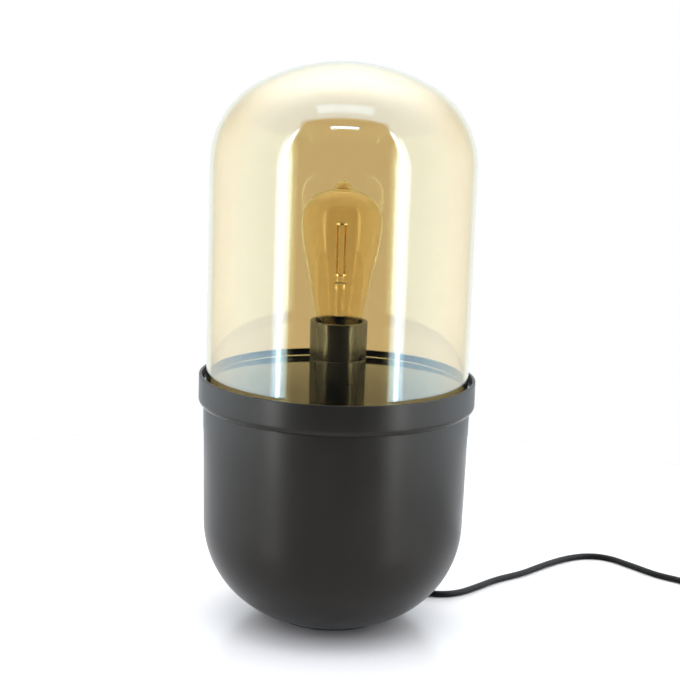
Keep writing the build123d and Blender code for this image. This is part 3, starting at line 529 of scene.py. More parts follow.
@dataclass(frozen=True)
class Finish(Coating):
    """A solid finish: paint, plastic, rubber, metal, felt or porcelain.

    Colours run between two values with the broad waves of the grain, and so does the roughness.
    """

    colour: Triple
    other: Triple
    roughness: float = 0.4
    roughness_spread: float = 0.1
    metallic: float = 0.0
    specular: float = 0.5
    gleam: Triple = (1.0, 1.0, 1.0)
    coat: float = 0.0
    coat_roughness: float = 0.05
    sheen: float = 0.0
    fine_scale: float = 900.0
    broad_scale: float = 40.0
    broad_share: float = 0.3
    broad_contrast: float = 2.0
    bump: float = 0.1
    bump_depth: float = 0.0002

    def shader(self, wiring: Wiring, place: NodeSocket) -> Node:
        """Builds the shader.

        Args:
            wiring: the material's tree.
            place: Object coordinates.

        Returns:
            The shader's node.
        """
        grain = wiring.add(
            "ShaderNodeGroup", node_tree=grain_group(), Vector=place,
            Fine_Scale=self.fine_scale, Broad_Scale=self.broad_scale, Broad_Share=self.broad_share,
            Spread=self.broad_contrast,
        ).outputs
        rough = wiring.add(
            "ShaderNodeMapRange", clamp=True, Value=grain["Mask"],
            To_Min=self.roughness - self.roughness_spread / 2,
            To_Max=self.roughness + self.roughness_spread / 2,
        )
        bump = wiring.add(
            "ShaderNodeBump", Strength=self.bump, Distance=self.bump_depth, Height=grain["Height"],
        )
        return wiring.add(
            "ShaderNodeBsdfPrincipled",
            Base_Color=wiring.mix(Mix.RGBA, grain["Mask"], (*self.colour, 1), (*self.other, 1)),
            Roughness=rough.outputs["Result"], Metallic=self.metallic, Normal=bump.outputs["Normal"],
            Specular_IOR_Level=self.specular, Specular_Tint=(*self.gleam, 1), Coat_Weight=self.coat,
            Coat_Roughness=self.coat_roughness, Sheen_Weight=self.sheen,
        )


@dataclass(frozen=True)
class Glass(Coating):
    """A clear or tinted glass, with the faint waves of blown glass."""

    tint: Triple
    ior: float = 1.5
    wave_scale: float = 14.0
    wave_depth: float = 0.0006
    wave_strength: float = 0.1
    height_squeeze: float = 0.3
    specular: float = 0.5
    lustre: Triple = (1.0, 1.0, 1.0)

    def shader(self, wiring: Wiring, place: NodeSocket) -> Node:
        """Builds the shader.

        Args:
            wiring: the material's tree.
            place: Object coordinates.

        Returns:
            The shader's node.
        """
        mapping = wiring.add("ShaderNodeMapping", Vector=place, Scale=(1.0, 1.0, self.height_squeeze))
        waves = wiring.add(
            "ShaderNodeTexNoise", Vector=mapping.outputs["Vector"], Scale=self.wave_scale, Detail=1.0,
        )
        bump = wiring.add(
            "ShaderNodeBump", Strength=self.wave_strength, Distance=self.wave_depth,
            Height=waves.outputs["Fac"],
        )
        return wiring.add(
            "ShaderNodeBsdfPrincipled", Base_Color=(*self.tint, 1), Roughness=0.0,
            IOR=self.ior, Transmission_Weight=1.0, Specular_IOR_Level=self.specular,
            Specular_Tint=(*self.lustre, 1), Normal=bump.outputs["Normal"],
        )


BLACK_PAINT = Finish(
    "satin_black_paint", "black_paint", (0.0092, 0.0082, 0.0074), (0.0115, 0.0102, 0.0092),
    roughness=0.32, roughness_spread=0.06, specular=0.133, gleam=(1.0, 0.86, 0.74), fine_scale=1500,
    broad_scale=30, bump=0.12, bump_depth=0.0001,
)
DECK_LACQUER = Finish(
    "gloss_black_deck", "deck_lacquer", (0.006, 0.005, 0.003), (0.008, 0.006, 0.004),
    roughness=0.05, roughness_spread=0.03, specular=0.5, gleam=(1.0, 0.88, 0.70), fine_scale=300,
    broad_scale=20, bump=0.03, bump_depth=0.0001,
)
HOLDER_BLACK = Finish(
    "holder_black", "holder_black", (0.020, 0.012, 0.006), (0.024, 0.015, 0.008),
    roughness=0.3, roughness_spread=0.06, specular=0.06, gleam=(1.0, 0.8, 0.56), fine_scale=1200,
    broad_scale=60, bump=0.06, bump_depth=0.0001,
)
FELT = Finish(
    "black_felt", "felt", (0.012, 0.012, 0.012), (0.03, 0.03, 0.03), roughness=0.95,
    roughness_spread=0.05, sheen=0.3, fine_scale=2500, broad_scale=300, bump=0.8, bump_depth=0.0006,
)
CAST_IRON = Finish(
    "cast_iron", "cast_iron", (0.06, 0.06, 0.062), (0.09, 0.088, 0.085), roughness=0.6,
    roughness_spread=0.2, metallic=0.9, fine_scale=700, broad_scale=90, bump=0.5, bump_depth=0.0004,
)
ZINC = Finish(
    "zinc_plate", "zinc_steel", (0.55, 0.56, 0.58), (0.68, 0.67, 0.62), roughness=0.32,
    roughness_spread=0.15, metallic=1.0, fine_scale=1100, broad_scale=120, bump=0.08, bump_depth=0.0001,
)
BRASS = Finish(
    "plain_brass", "brass", (0.75, 0.55, 0.24), (0.68, 0.48, 0.20), roughness=0.28,
    roughness_spread=0.14, metallic=1.0, fine_scale=900, broad_scale=150, bump=0.06, bump_depth=0.0001,
)
CAP_METAL = Finish(
    "nickel_cap", "cap_metal", (0.62, 0.58, 0.50), (0.72, 0.69, 0.62), roughness=0.22,
    roughness_spread=0.12, metallic=1.0, fine_scale=800, broad_scale=200, bump=0.05, bump_depth=0.0001,
)
SOLDER = Finish(
    "solder", "solder", (0.6, 0.6, 0.6), (0.7, 0.7, 0.69), roughness=0.4, roughness_spread=0.2,
    metallic=1.0, fine_scale=900, broad_scale=400, bump=0.3, bump_depth=0.0003,
)
BLACK_GLASS = Finish(
    "black_insulator", "black_glass", (0.006, 0.006, 0.007), (0.01, 0.01, 0.012), roughness=0.1,
    roughness_spread=0.08, fine_scale=500, broad_scale=120, bump=0.05, bump_depth=0.0002,
)
PORCELAIN = Finish(
    "glazed_porcelain", "porcelain", (0.82, 0.80, 0.75), (0.86, 0.85, 0.81), roughness=0.12,
    roughness_spread=0.08, coat=0.5, fine_scale=400, broad_scale=60, bump=0.04, bump_depth=0.0002,
)
PHOSPHOR = Finish(
    "phosphor_coating", "filament", (0.50, 0.32, 0.14), (0.58, 0.38, 0.17), roughness=0.6, specular=0.05,
    roughness_spread=0.1, fine_scale=3000, broad_scale=500, bump=0.3, bump_depth=0.0001,
)
CORD_BLACK = Finish(
    "black_lead", "cord_black", (0.005, 0.005, 0.005), (0.008, 0.008, 0.008), roughness=0.45,
    roughness_spread=0.12, specular=0.1, gleam=(1.0, 0.86, 0.74), fine_scale=1400, broad_scale=80,
    bump_depth=0.0001,
)
SWITCH_BLACK = Finish(
    "switch_black", "switch_black", (0.005, 0.0045, 0.004), (0.007, 0.0064, 0.0058), roughness=0.45,
    roughness_spread=0.1, specular=0.07, gleam=(1.0, 0.86, 0.74), fine_scale=2600, broad_scale=100,
    bump=0.15, bump_depth=0.0001,
)
WIRE_BROWN = Finish("brown_wire", "wire_brown", (0.16, 0.06, 0.03), (0.2, 0.08, 0.04), roughness=0.45)
WIRE_BLUE = Finish("blue_wire", "wire_blue", (0.03, 0.12, 0.45), (0.05, 0.16, 0.5), roughness=0.45)
AMBER_GLASS = Glass(
    "amber_dome_glass", "amber_glass", (0.765, 0.652, 0.42), specular=1.0, lustre=(0.55, 0.76, 1.0),
)
BULB_AMBER = Glass(
    "amber_bulb_glass", "bulb_amber", (0.895, 0.825, 0.64), ior=1.23, specular=1.0, wave_scale=45,
    wave_depth=0.0003, lustre=(0.82, 0.80, 0.66),
)
CLEAR_GLASS = Glass("clear_stem_glass", "clear_glass", (0.97, 0.96, 0.92), wave_scale=120)


def settle(piece: Object, finish: Coating, body: Body, *nodes: str) -> Object:
    """Gives a piece its finish and its body, and lets it stand for the nodes that it replaces.

    Args:
        piece: the piece.
        finish: what it is covered with.
        body: the body that carries it.
        nodes: nodes of the frame that it stands for.

    Returns:
        The same piece.
    """
    piece.data.materials.clear()
    piece.data.materials.append(finish.material())
    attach(piece, body.value)
    if nodes:
        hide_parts(*nodes)
    log.info("%s rides on %s and stands for %s", piece.name, body.value, ", ".join(nodes) or "nothing")
    return piece


def turned(name: str, section: Section, segments: int, finish: Coating, body: Body, node: str,
           crease: float = CREASE) -> None:
    """Makes a piece by turning a closed outline about the lamp's axis.

    Args:
        name: the piece's name.
        section: the outline.
        segments: number of steps round the axis.
        finish: what it is covered with.
        body: the body that carries it.
        node: the node of the frame that it stands for.
        crease: edges that turn by more than this many degrees stay sharp.
    """
    work = bmesh.new()
    turn_into(work, section, segments)
    settle(finished(name, work, crease), finish, body, node)


NODE_FINISHES: dict[Coating, tuple[str, ...]] = {
    FELT: ("foot_pad",),
    CAST_IRON: ("ballast_plate",),
    ZINC: (
        "ballast_screws", "tie_rod", "rod_nut", "bridge", "bridge_washer", "bridge_nut",
        "nipple_washer", "terminal_screws", "cord_clip", "clip_screws", "switch_screws", "rocker_pin",
    ),
    BRASS: (
        "nipple", "nipple_nut", "contact_blade", "terminal_blocks", "contact_bridge",
        "switch_contacts", "screw_shell",
    ),
    PORCELAIN: ("holder_core",),
    WIRE_BROWN: ("live_wire", "switch_wire_in", "switch_wire_out"),
    WIRE_BLUE: ("neutral_wire", "switch_wire_through"),
    SOLDER: ("bulb_eyelet",),
    BLACK_GLASS: ("bulb_insulator",),
    CLEAR_GLASS: ("bulb_stem",),
    PHOSPHOR: ("led_filaments",),
    CAP_METAL: ("support_wires", "plug_pins", "bulb_cap"),
    CORD_BLACK: (
        "strain_relief", "inner_lead", "plug_body", "cord_lead", "cord_link", "cord_coil", "cord_tail",
    ),
    SWITCH_BLACK: ("switch_base", "switch_cover", "switch_rocker"),
    BLACK_PAINT: ("bowl_shell", "collar_ring"),
    DECK_LACQUER: ("deck_plate",),
    AMBER_GLASS: ("glass_dome",),
    HOLDER_BLACK: ("holder_base", "holder_sleeve"),
    BULB_AMBER: ("bulb_glass",),
}


def dress_nodes() -> None:
    """Gives every node of the frame its finish."""
    for finish, names in NODE_FINISHES.items():
        for name in names:
            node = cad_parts[name]
            if not node.material_slots:
                node.data.materials.append(finish.material())
            for slot in node.material_slots:
                slot.material = finish.material()


# Repeated pieces


def copies_group() -> NodeTree:
    """A shared Geometry Nodes group: copies of a piece along a straight row, each a little turned.

    Returns:
        The group, which is built once.
    """
    name = "row_of_copies"
    if name in bpy.data.node_groups:
        return bpy.data.node_groups[name]
    wiring = new_group(
        name, "GeometryNodeTree", {
            "Geometry": "Geometry", "Count": "Int", "Step": "Vector", "Last Scale": "Vector",
            "Sway": "Vector", "Seed": "Int", "Finish": "Material",
        },
        {"Geometry": "Geometry"},
    )
    wiring.tree.is_modifier = True
    given = wiring.add("NodeGroupInput").outputs
    line = wiring.add("GeometryNodeMeshLine", mode="OFFSET", Count=given["Count"], Offset=given["Step"])
    index = wiring.add("GeometryNodeInputIndex").outputs["Index"]
    share = wiring.math("DIVIDE", index, wiring.math("SUBTRACT", given["Count"], 1.0))
    turn = wiring.add(
        "FunctionNodeRandomValue", data_type="FLOAT_VECTOR", Min=(0, 0, 0),
        Max=given["Sway"], Seed=given["Seed"],
    )
    copies = wiring.add(
        "GeometryNodeInstanceOnPoints", Points=line.outputs["Mesh"],
        Instance=given["Geometry"], Rotation=turn.outputs["Value"],
        Scale=wiring.mix(Mix.VECTOR, share, (1, 1, 1), given["Last Scale"]),
    )
    solid = wiring.add("GeometryNodeRealizeInstances", Geometry=copies.outputs["Instances"])
    dressed = wiring.add(
        "GeometryNodeSetMaterial", Geometry=solid.outputs["Geometry"], Material=given["Finish"],
    )
    wiring.add("NodeGroupOutput", Geometry=dressed.outputs["Geometry"])
    return wiring.tree


@dataclass
class Row:
    """A row of like pieces, made with the shared Geometry Nodes group."""

    count: int
    step: Triple
    last_scale: Triple = (1.0, 1.0, 1.0)
    sway: float = math.radians(0.4)
    seed: int = 7

    def make(self, name: str, bar: BMesh, place: Matrix, finish: Coating) -> Object:
        """Makes the row.

        Args:
            name: the row's name.
            bar: the piece that is repeated, in millimetres round the origin, which is freed.
            place: moves the row from the origin to its place, in millimetres.
            finish: what it is covered with.

        Returns:
            The row, as one object at the origin.
        """
        row = finished(name, bar)
        modifier = row.modifiers.new("row", "NODES")
        modifier.node_group = copies_group()
        values = {
            "Count": self.count, "Step": Vector(self.step) * MM, "Last Scale": Vector(self.last_scale),
            "Sway": Vector((self.sway,) * 3), "Seed": self.seed, "Finish": finish.material(),
        }
        for socket in modifier.node_group.interface.items_tree:
            if socket.in_out == "INPUT" and socket.name in values:
                modifier[socket.identifier] = values[socket.name]
        graph = bpy.context.evaluated_depsgraph_get()
        mesh = bpy.data.meshes.new_from_object(row.evaluated_get(graph))
        row.modifiers.remove(modifier)
        row.data = mesh
        mesh.transform(Matrix.Scale(MM, 4) @ place @ Matrix.Scale(1 / MM, 4))
        return row


def pill(half_length: float, radius: float, flat: float) -> BMesh:
    """A bar with round ends along X, squashed in height.

    Args:
        half_length: half of its length, without the round ends.
        radius: its radius.
        flat: height over width.

    Returns:
        The working mesh.
    """
    bar = bmesh.new()
    steps, segments = 10, 20
    angles = [math.pi / 2 * k / steps for k in range(steps + 1)]
    low = [(radius * math.sin(a), -radius * math.cos(a) - half_length) for a in angles]
    high = [(reach, -height) for reach, height in reversed(low)]
    turn_into(bar, [*low, *high], segments, closed=False)
    bmesh.ops.rotate(bar, verts=bar.verts, matrix=Matrix.Rotation(math.pi / 2, 3, "Y"))
    bmesh.ops.scale(bar, vec=(1, 1, flat), verts=bar.verts)
    return bar


def hoop(radius: float, thickness: float) -> BMesh:
    """A round ring about the Z axis.

    Args:
        radius: from the axis to the middle of its wire.
        thickness: radius of its wire.

    Returns:
        The working mesh.
    """
    ring = bmesh.new()
    sides, segments = 12, 48
    angles = [math.tau * k / sides for k in range(sides)]
    section = [(radius + thickness * math.cos(a), thickness * math.sin(a)) for a in angles]
    turn_into(ring, section, segments)
    return ring


# Camera, floor and light


@dataclass
class Viewpoint:
    """The photograph's camera, fitted to the outlines of the collar, the dome and the foot."""

    distance: float = 1300.0
    elevation: float = 10.955
    focal_pixels: float = 1637.7
    frame_pixels: float = 680.0
    sensor: float = 36.0
    roll: float = 1.828
    aim: Triple = (1.259, 0.0, 226.54)
    nearest: float = 0.01
    farthest: float = 50.0

    def place(self) -> None:
        """Makes the camera and gives it to the scene."""
        data = bpy.data.cameras.new("camera")
        data.sensor_width = self.sensor
        data.lens = self.sensor * self.focal_pixels / self.frame_pixels
        data.clip_start, data.clip_end = self.nearest, self.farthest
        camera = bpy.data.objects.new("camera", data)
        bpy.context.scene.collection.objects.link(camera)
        rise = math.radians(self.elevation)
        back = Vector((0, -math.cos(rise), math.sin(rise)))
        camera.location = (Vector(self.aim) + back * self.distance) * MM
        camera.rotation_mode = "QUATERNION"
        level = (-back).to_track_quat("-Z", "Y")
        camera.rotation_quaternion = level @ Quaternion((0, 0, 1), math.radians(self.roll))
        bpy.context.scene.camera = camera


@dataclass
class Studio:
    """A white floor in a light tent that is open, and dim, towards the viewer.

    Whatever looks straight past or through the glass sees the plain white backdrop, from every
    side. Reflections and surfaces see the tent: pale walls, a bright strip with a tube light at each
    edge of its opening, a soft lamp overhead, and the dim room in the opening with one bar light
    up in it.
    """

    floor_radius: float = 620.0
    floor_segments: int = 96
    floor_colour: Triple = (0.50, 0.44, 0.42)
    floor_roughness: float = 0.18

    # brightness of the backdrop, the room, the walls, the back, what is overhead, strip and tubes
    backdrop: float = 1.0
    room: float = 0.05
    walls: float = 6.6
    back: float = 1.3
    overhead: float = 6.4
    strip: float = 13.0
    tube: float = 34.0

    # colour of the tent, share of plain white at its back, and share of a tube in the lamp overhead
    tent_colour: Triple = (0.76, 0.90, 1.0)
    back_plain: float = 0.4
    ceiling_share: float = 0.1

    # where each part lies, in degrees from straight ahead or above the floor
    opening: float = 43.5
    opening_narrow: float = 21.0
    opening_top: float = 68.0
    narrow_low: float = 22.0
    narrow_high: float = 72.0
    walls_end: float = 75.0
    back_start: float = 150.0
    overhead_low: float = 15.0
    overhead_high: float = 65.0
    strip_near: float = 47.0
    strip_far: float = 58.0
    tube_middle: float = 52.0
    tube_half: float = 1.6
    tube_fade_low: float = 35.0
    tube_fade_high: float = 50.0
    bar_pitch: float = 55.0
    bar_half: float = 1.2
    bar_reach: float = 10.0
    ceiling_pitch: float = 82.0
    ceiling_half: float = 6.0
    ceiling_reach: float = 17.0
    softness: float = 2.0
    lamp_softness: float = 0.8

    # half width of the step between front and back, and the ray depth that tells a bounce
    back_edge: float = 0.1
    bounce_limit: float = 1.5

    def floor(self) -> None:
        """Makes the floor."""
        work = bmesh.new()
        bmesh.ops.create_circle(
            work, cap_ends=True, segments=self.floor_segments, radius=self.floor_radius,
        )
        floor = finished("floor", work)
        material = bpy.data.materials.new("white_floor")
        material.use_nodes = True
        shader = material.node_tree.nodes["Principled BSDF"]
        shader.inputs["Base Color"].default_value = (*self.floor_colour, 1)
        shader.inputs["Roughness"].default_value = self.floor_roughness
        floor.data.materials.append(material)

    def straight(self, wiring: Wiring) -> NodeSocket:
        """Tells apart the rays that came straight from the camera, through glass or not.

        In the surroundings the ray's depth counts the last stretch too, so it is 1 without a bounce.

        Args:
            wiring: the world's tree.

        Returns:
            The output, 1 for such rays and 0 for all others.
        """
        path = wiring.add("ShaderNodeLightPath").outputs
        bounced = wiring.math("SUBTRACT", path["Ray Depth"], path["Transmission Depth"])
        return wiring.math("LESS_THAN", bounced, self.bounce_limit)

    def tent(self, wiring: Wiring) -> tuple[NodeSocket, NodeSocket]:
        """Brightness of the tent by direction, measured in degrees.

        Args:
            wiring: the world's tree.

        Returns:
            The brightness, and the share of the light that is the backdrop's, and so plain white.
        """
        place = wiring.add("ShaderNodeTexCoord").outputs["Generated"]
        split = wiring.add("ShaderNodeSeparateXYZ", Vector=place).outputs
        aside = wiring.math("ABSOLUTE", split["X"])
        toward = wiring.math("MULTIPLY", split["Y"], -1.0)
        azimuth = wiring.math("DEGREES", wiring.math("ARCTAN2", aside, toward))
        pitch = wiring.math("DEGREES", wiring.math("ARCTAN2", split["Z"], toward))
        elevation = wiring.math("DEGREES", wiring.math("ARCSINE", split["Z"]))
        sideways = wiring.math("DEGREES", wiring.math("ARCSINE", aside))

        # the opening is narrower high up, and flat at its top
        soft = self.softness
        narrowing = wiring.step(elevation, self.narrow_low, self.narrow_high, 0.0, self.opening_narrow)
        widened = wiring.math("ADD", sideways, narrowing)
        beside = wiring.step(widened, self.opening - soft, self.opening + soft)
        behind = wiring.step(toward, -self.back_edge, self.back_edge, 1.0, 0.0)
        above = wiring.step(pitch, self.opening_top - soft, self.opening_top + soft)
        wall = wiring.math("MAXIMUM", beside, behind, above)

        # the strip brightens the wall beside the opening, and the wall falls off towards the back
        rise = wiring.step(widened, self.strip_near - soft, self.strip_near + soft)
        fall = wiring.step(azimuth, self.strip_far - soft, self.strip_far + soft, 1.0, 0.0)
        strip = wiring.math("MULTIPLY", rise, fall, self.strip - self.walls)
        toward_back = wiring.step(azimuth, self.walls_end, self.back_start)
        back = wiring.step(elevation, self.overhead_low, self.overhead_high, self.back, self.overhead)
        fallen = wiring.math("MULTIPLY", toward_back, wiring.math("SUBTRACT", self.walls, back))
        sides = wiring.math("SUBTRACT", self.walls - self.room, fallen)
        lit = wiring.math("MULTIPLY", wall, wiring.math("ADD", strip, sides))

        # the tubes, the bar and the lamp overhead
        low = wiring.step(elevation, self.tube_fade_low, self.tube_fade_high, 1.0, 0.0)
        edge = self.lamp_softness
        tubes = wiring.math("MULTIPLY", wiring.band(azimuth, self.tube_middle, self.tube_half, edge), low)
        bar, ceiling = (
            wiring.math(
                "MULTIPLY", wiring.band(pitch, middle, half, edge),
                wiring.band(sideways, 0.0, reach, edge),
            )
            for middle, half, reach in (
                (self.bar_pitch, self.bar_half, self.bar_reach),
                (self.ceiling_pitch, self.ceiling_half, self.ceiling_reach),
            )
        )
        soft_ceiling = wiring.math("MULTIPLY", ceiling, self.ceiling_share)
        lamps = wiring.math("MULTIPLY", wiring.math("ADD", tubes, bar, soft_ceiling), self.tube)
        plain = wiring.math("MULTIPLY", toward_back, self.back_plain)
        return wiring.math("ADD", lit, lamps, self.room), plain

    def world(self) -> None:
        """Makes the surroundings."""
        world = bpy.data.worlds.new("studio")
        world.use_nodes = True
        bpy.context.scene.world = world
        wiring = Wiring(world.node_tree)
        straight = self.straight(wiring)
        level, behind = self.tent(wiring)
        plain = wiring.math("MAXIMUM", straight, behind)
        shade = wiring.add(
            "ShaderNodeBackground",
            Color=wiring.mix(Mix.RGBA, plain, (*self.tent_colour, 1), (1, 1, 1, 1)),
            Strength=wiring.mix(Mix.FLOAT, straight, level, self.backdrop),
        )
        wiring.add("ShaderNodeOutputWorld", Surface=shade.outputs["Background"])

    def build(self) -> None:
        """Makes the floor and the surroundings."""
        bpy.context.scene.view_settings.view_transform = "Standard"
        self.floor()
        self.world()


# Mains lead


@dataclass
class Lead:
    """The lead on the floor: from the strain relief to the switch, and on to the coil and the plug.

    The routes repeat the points that the lead's solids follow. They are control points of one
    smooth spline each.
    """

    radius: float = 2.6
    round_steps: int = 6
    spline_steps: int = 8
    spline_order: int = 3

    # the strap round the coil
    tie_thick: float = 0.7
    tie_width: float = 6.0
    tie_round: float = 3.0
    tie_steps: int = 8

    # the grip on the plug: half length, radius and flatness of a rib, and how the ribs lie
    plug_rib: Triple = (8.6, 0.75, 0.8)
    plug_rib_count: int = 5
    plug_rib_back: float = 34.0
    plug_rib_sink: float = 0.35
    plug_rib_step: Triple = (0.0, 3.0, -0.17)
    plug_taper: float = 0.6

    # the fields on the switch, likewise
    switch_rib: Triple = (6.0, 0.6, 0.7)
    switch_rib_count: int = 4
    switch_rib_out: float = 18.5
    switch_rib_step: float = 2.4
    switch_seed: int = 11

    # the strain relief and its rings
    relief_length: float = 24.0
    relief_root: float = 5.4
    relief_tip: float = 3.8
    relief_start: float = 5.5
    relief_step: float = 3.3
    relief_count: int = 6
    relief_wire: float = 0.6

    # the routes, and the coil between them
    floor_route: tuple[Triple, ...] = (
        (0, 117, 14), (5, 134, 8), (19, 149, 2.6), (41, 152, 2.6), (59, 140, 2.6), (68, 119, 2.6),
        (68, 96, 2.6), (62, 76.5, 2.6), (66, 56, 2.6), (83, 42, 2.6), (104.5, 43, 2.6),
        (123, 60.5, 2.6), (143, 84, 2.6), (168, 102, 2.6), (189, 126.5, 2.6), (212.5, 148.5, 2.6),
        (233, 158.5, 2.6), (252.5, 154.5, 2.6), (272, 130.5, 2.6), (289.5, 108.5, 2.6),
        (307, 97.5, 2.6), (317, 83, 4), (326, 74.5, 7.5), (336.4, 66.7, 7.5),
    )
    link_route: tuple[Triple, ...] = (
        (374.8, 37.9, 7.5), (385.2, 30.1, 7.5), (394.2, 20.6, 4.4), (399.4, 8.5, 2.6),
        (400.25, -9, 2.6),
    )
    tail_route: tuple[Triple, ...] = ((397.425, -46.8, 8.25), (400.5, -59, 6.9), (400.5, -71, 6.9))
    coil_centre: Pair = (361.3, -30.0)
    coil_inner: float = 22.0
    coil_gap: float = 0.45
    coil_turns: int = 3
    coil_dip: float = 1.0
    coil_points: int = 8

    @property
    def half_turns(self) -> int:
        """Number of half turns in the coil, on its way in and on its way out."""
        return 4 * self.coil_turns

    def stop(self, count: int) -> Vector:
        """Where a half turn of the coil begins.

        Args:
            count: number of the half turn, counted from the switch's end.

        Returns:
            The place, in millimetres.
        """
        step = self.radius + self.coil_gap / 2
        inmost = self.half_turns // 2
        climbs = count in (inmost, inmost + 1)
        steps = inmost - count if count < inmost else count - inmost - 1
        reach = self.coil_inner - self.coil_dip if climbs else self.coil_inner + steps * step
        side = reach if count % 2 == 0 else -reach
        height = self.radius if count <= inmost else self.radius + 2 * step
        return Vector((self.coil_centre[0] + side, self.coil_centre[1], height))

    def coil(self) -> list[Vector]:
        """Control points of the whole coil, half turn by half turn.

        Returns:
            The points, in millimetres.
        """
        points = [self.stop(0) + Vector((0, 2 * self.radius, 0))]
        for count in range(self.half_turns):
            here, there = self.stop(count), self.stop(count + 1)
            middle = (here + there) / 2
            reach = (there - here).length / 2 / math.cos(math.pi / self.coil_points / 2)
            side = 1 if count % 2 == 0 else -1
            for k in range(self.coil_points):
                share = (k + 0.5) / self.coil_points
                turn = math.pi * share
                height = here.z + (there.z - here.z) * share
                out = Vector((math.cos(turn), -math.sin(turn))) * side * reach
                points.append(Vector((middle.x + out.x, middle.y + out.y, height)))
        points.append(self.stop(self.half_turns) - Vector((0, 2 * self.radius, 0)))
        return points

    def strand(self, name: str, points: list[Vector]) -> Object:
        """A round lead along one smooth spline.

        Args:
            name: the piece's name.
            points: control points, in millimetres.

        Returns:
            The lead.
        """
        curve = bpy.data.curves.new(name, "CURVE")
        curve.dimensions = "3D"
        curve.bevel_depth = self.radius * MM
        curve.bevel_resolution = self.round_steps
        curve.resolution_u = self.spline_steps
        curve.use_fill_caps = True
        spline = curve.splines.new("NURBS")
        spline.points.add(len(points) - 1)
        for control, point in zip(spline.points, points):
            control.co = (*(Vector(point) * MM), 1)
        spline.order_u = self.spline_order
        spline.use_endpoint_u = True
        lead = bpy.data.objects.new(name, curve)
        bpy.context.scene.collection.objects.link(lead)
        return lead

    def tie(self) -> Object:
        """Makes the strap that holds the coil together, opposite the lead's ends.

        Returns:
            The strap.
        """
        turns = [self.stop(count) for count in range(1, self.half_turns, 2)]
        low = min(place.x for place in turns) - self.radius
        high = max(place.x for place in turns) + self.radius
        top = max(place.z for place in turns) + self.radius
        # the strap's lower run lies on the floor, pressed a little into the lead
        corners = [
            (low - self.tie_thick, 0.0, self.tie_round), (high + self.tie_thick, 0.0, self.tie_round),
            (high + self.tie_thick, top + self.tie_thick, self.tie_round),
            (low - self.tie_thick, top + self.tie_thick, self.tie_round),
        ]
        centre = Vector(((low + high) / 2, self.coil_centre[1], top / 2))
        across = Vector((0, self.tie_width / 2, 0))
        strap = bmesh.new()
        rings = []
        for x, z in rounded(corners, self.tie_steps):
            edge = Vector((x, self.coil_centre[1], z))
            inward = (centre - edge).normalized() * self.tie_thick
            rings.append([
                strap.verts.new(edge + across * side + inward * depth)
                for side, depth in ((-1, 0), (1, 0), (1, 1), (-1, 1))
            ])
        skin(strap, rings)
        return settle(finished("coil_tie", strap), SWITCH_BLACK, Body.BASE)

    def plug_ribs(self) -> Object:
        """Makes the grip ribs on the tapered back of the plug.

        Returns:
            The ribs.
        """
        low, high = span("plug_body")
        first = Vector(((low.x + high.x) / 2, high.y - self.plug_rib_back, high.z - self.plug_rib_sink))
        row = Row(self.plug_rib_count, self.plug_rib_step, last_scale=(self.plug_taper, 1, 1))
        ribs = row.make("plug_ribs", pill(*self.plug_rib), Matrix.Translation(first), CORD_BLACK)
        return settle(ribs, CORD_BLACK, Body.BASE)

    def switch_ribs(self) -> list[Object]:
        """Makes the two fields of ribs on the switch's cover, one each side of its rocker.

        Returns:
            Both fields.
        """
        low, high = span("switch_cover")
        centre = Vector(((low.x + high.x) / 2, (low.y + high.y) / 2, high.z))
        along = Vector(self.link_route[0]) - Vector(self.floor_route[-1])
        along.z = 0
        along.normalize()
        across = Vector((-along.y, along.x, 0))
        fields = []
        for side, name in ((-1, "switch_ribs_in"), (1, "switch_ribs_out")):
            turn = Matrix((across, along * side, (0, 0, 1))).transposed().to_4x4()
            place = Matrix.Translation(centre + along * side * self.switch_rib_out) @ turn
            row = Row(self.switch_rib_count, (0, self.switch_rib_step, 0), seed=self.switch_seed + side)
            ribs = row.make(name, pill(*self.switch_rib), place, SWITCH_BLACK)
            fields.append(settle(ribs, SWITCH_BLACK, Body.BASE))
        return fields

    def relief_ribs(self) -> None:
        """Makes the rings that let the strain relief bend, smaller towards its tip."""
        low, high = span("strain_relief")
        centre = Vector((0, high.y - self.relief_length + self.relief_start, (low.z + high.z) / 2))
        slope = (self.relief_root - self.relief_tip) / self.relief_length
        first = self.relief_root - slope * self.relief_start
        last = first - slope * (self.relief_count - 1) * self.relief_step
        scale = last / first
        row = Row(self.relief_count, (0, 0, self.relief_step), last_scale=(scale, scale, 1), sway=0.0)
        place = axis_place(centre, Vector((0, 1, 0)))
        ribs = row.make("relief_ribs", hoop(first, self.relief_wire), place, CORD_BLACK)
        settle(ribs, CORD_BLACK, Body.BASE)

    def build(self) -> None:
        low, high = span("strain_relief")
        start = Vector((0, high.y, (low.z + high.z) / 2))
        near_points = [start, *map(Vector, self.floor_route)]
        near = settle(self.strand("lead_to_switch", near_points), CORD_BLACK, Body.BASE, "cord_lead")
        switch = [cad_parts[name] for name in (
            "switch_base", "switch_cover", "switch_screws", "switch_rocker", "contact_bridge",
            "rocker_pin", "switch_contacts", "switch_wire_in", "switch_wire_out", "switch_wire_through",
        )]
        self.relief_ribs()
        switch += self.switch_ribs()
        far_points = [*map(Vector, self.link_route), *self.coil(), *map(Vector, self.tail_route)]
        far = self.strand("lead_to_plug", far_points)
        settle(far, CORD_BLACK, Body.BASE, "cord_link", "cord_coil", "cord_tail")
        plug = [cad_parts[name] for name in ("plug_body", "plug_pins")]
        plug += [self.plug_ribs(), self.tie()]


# Metal base


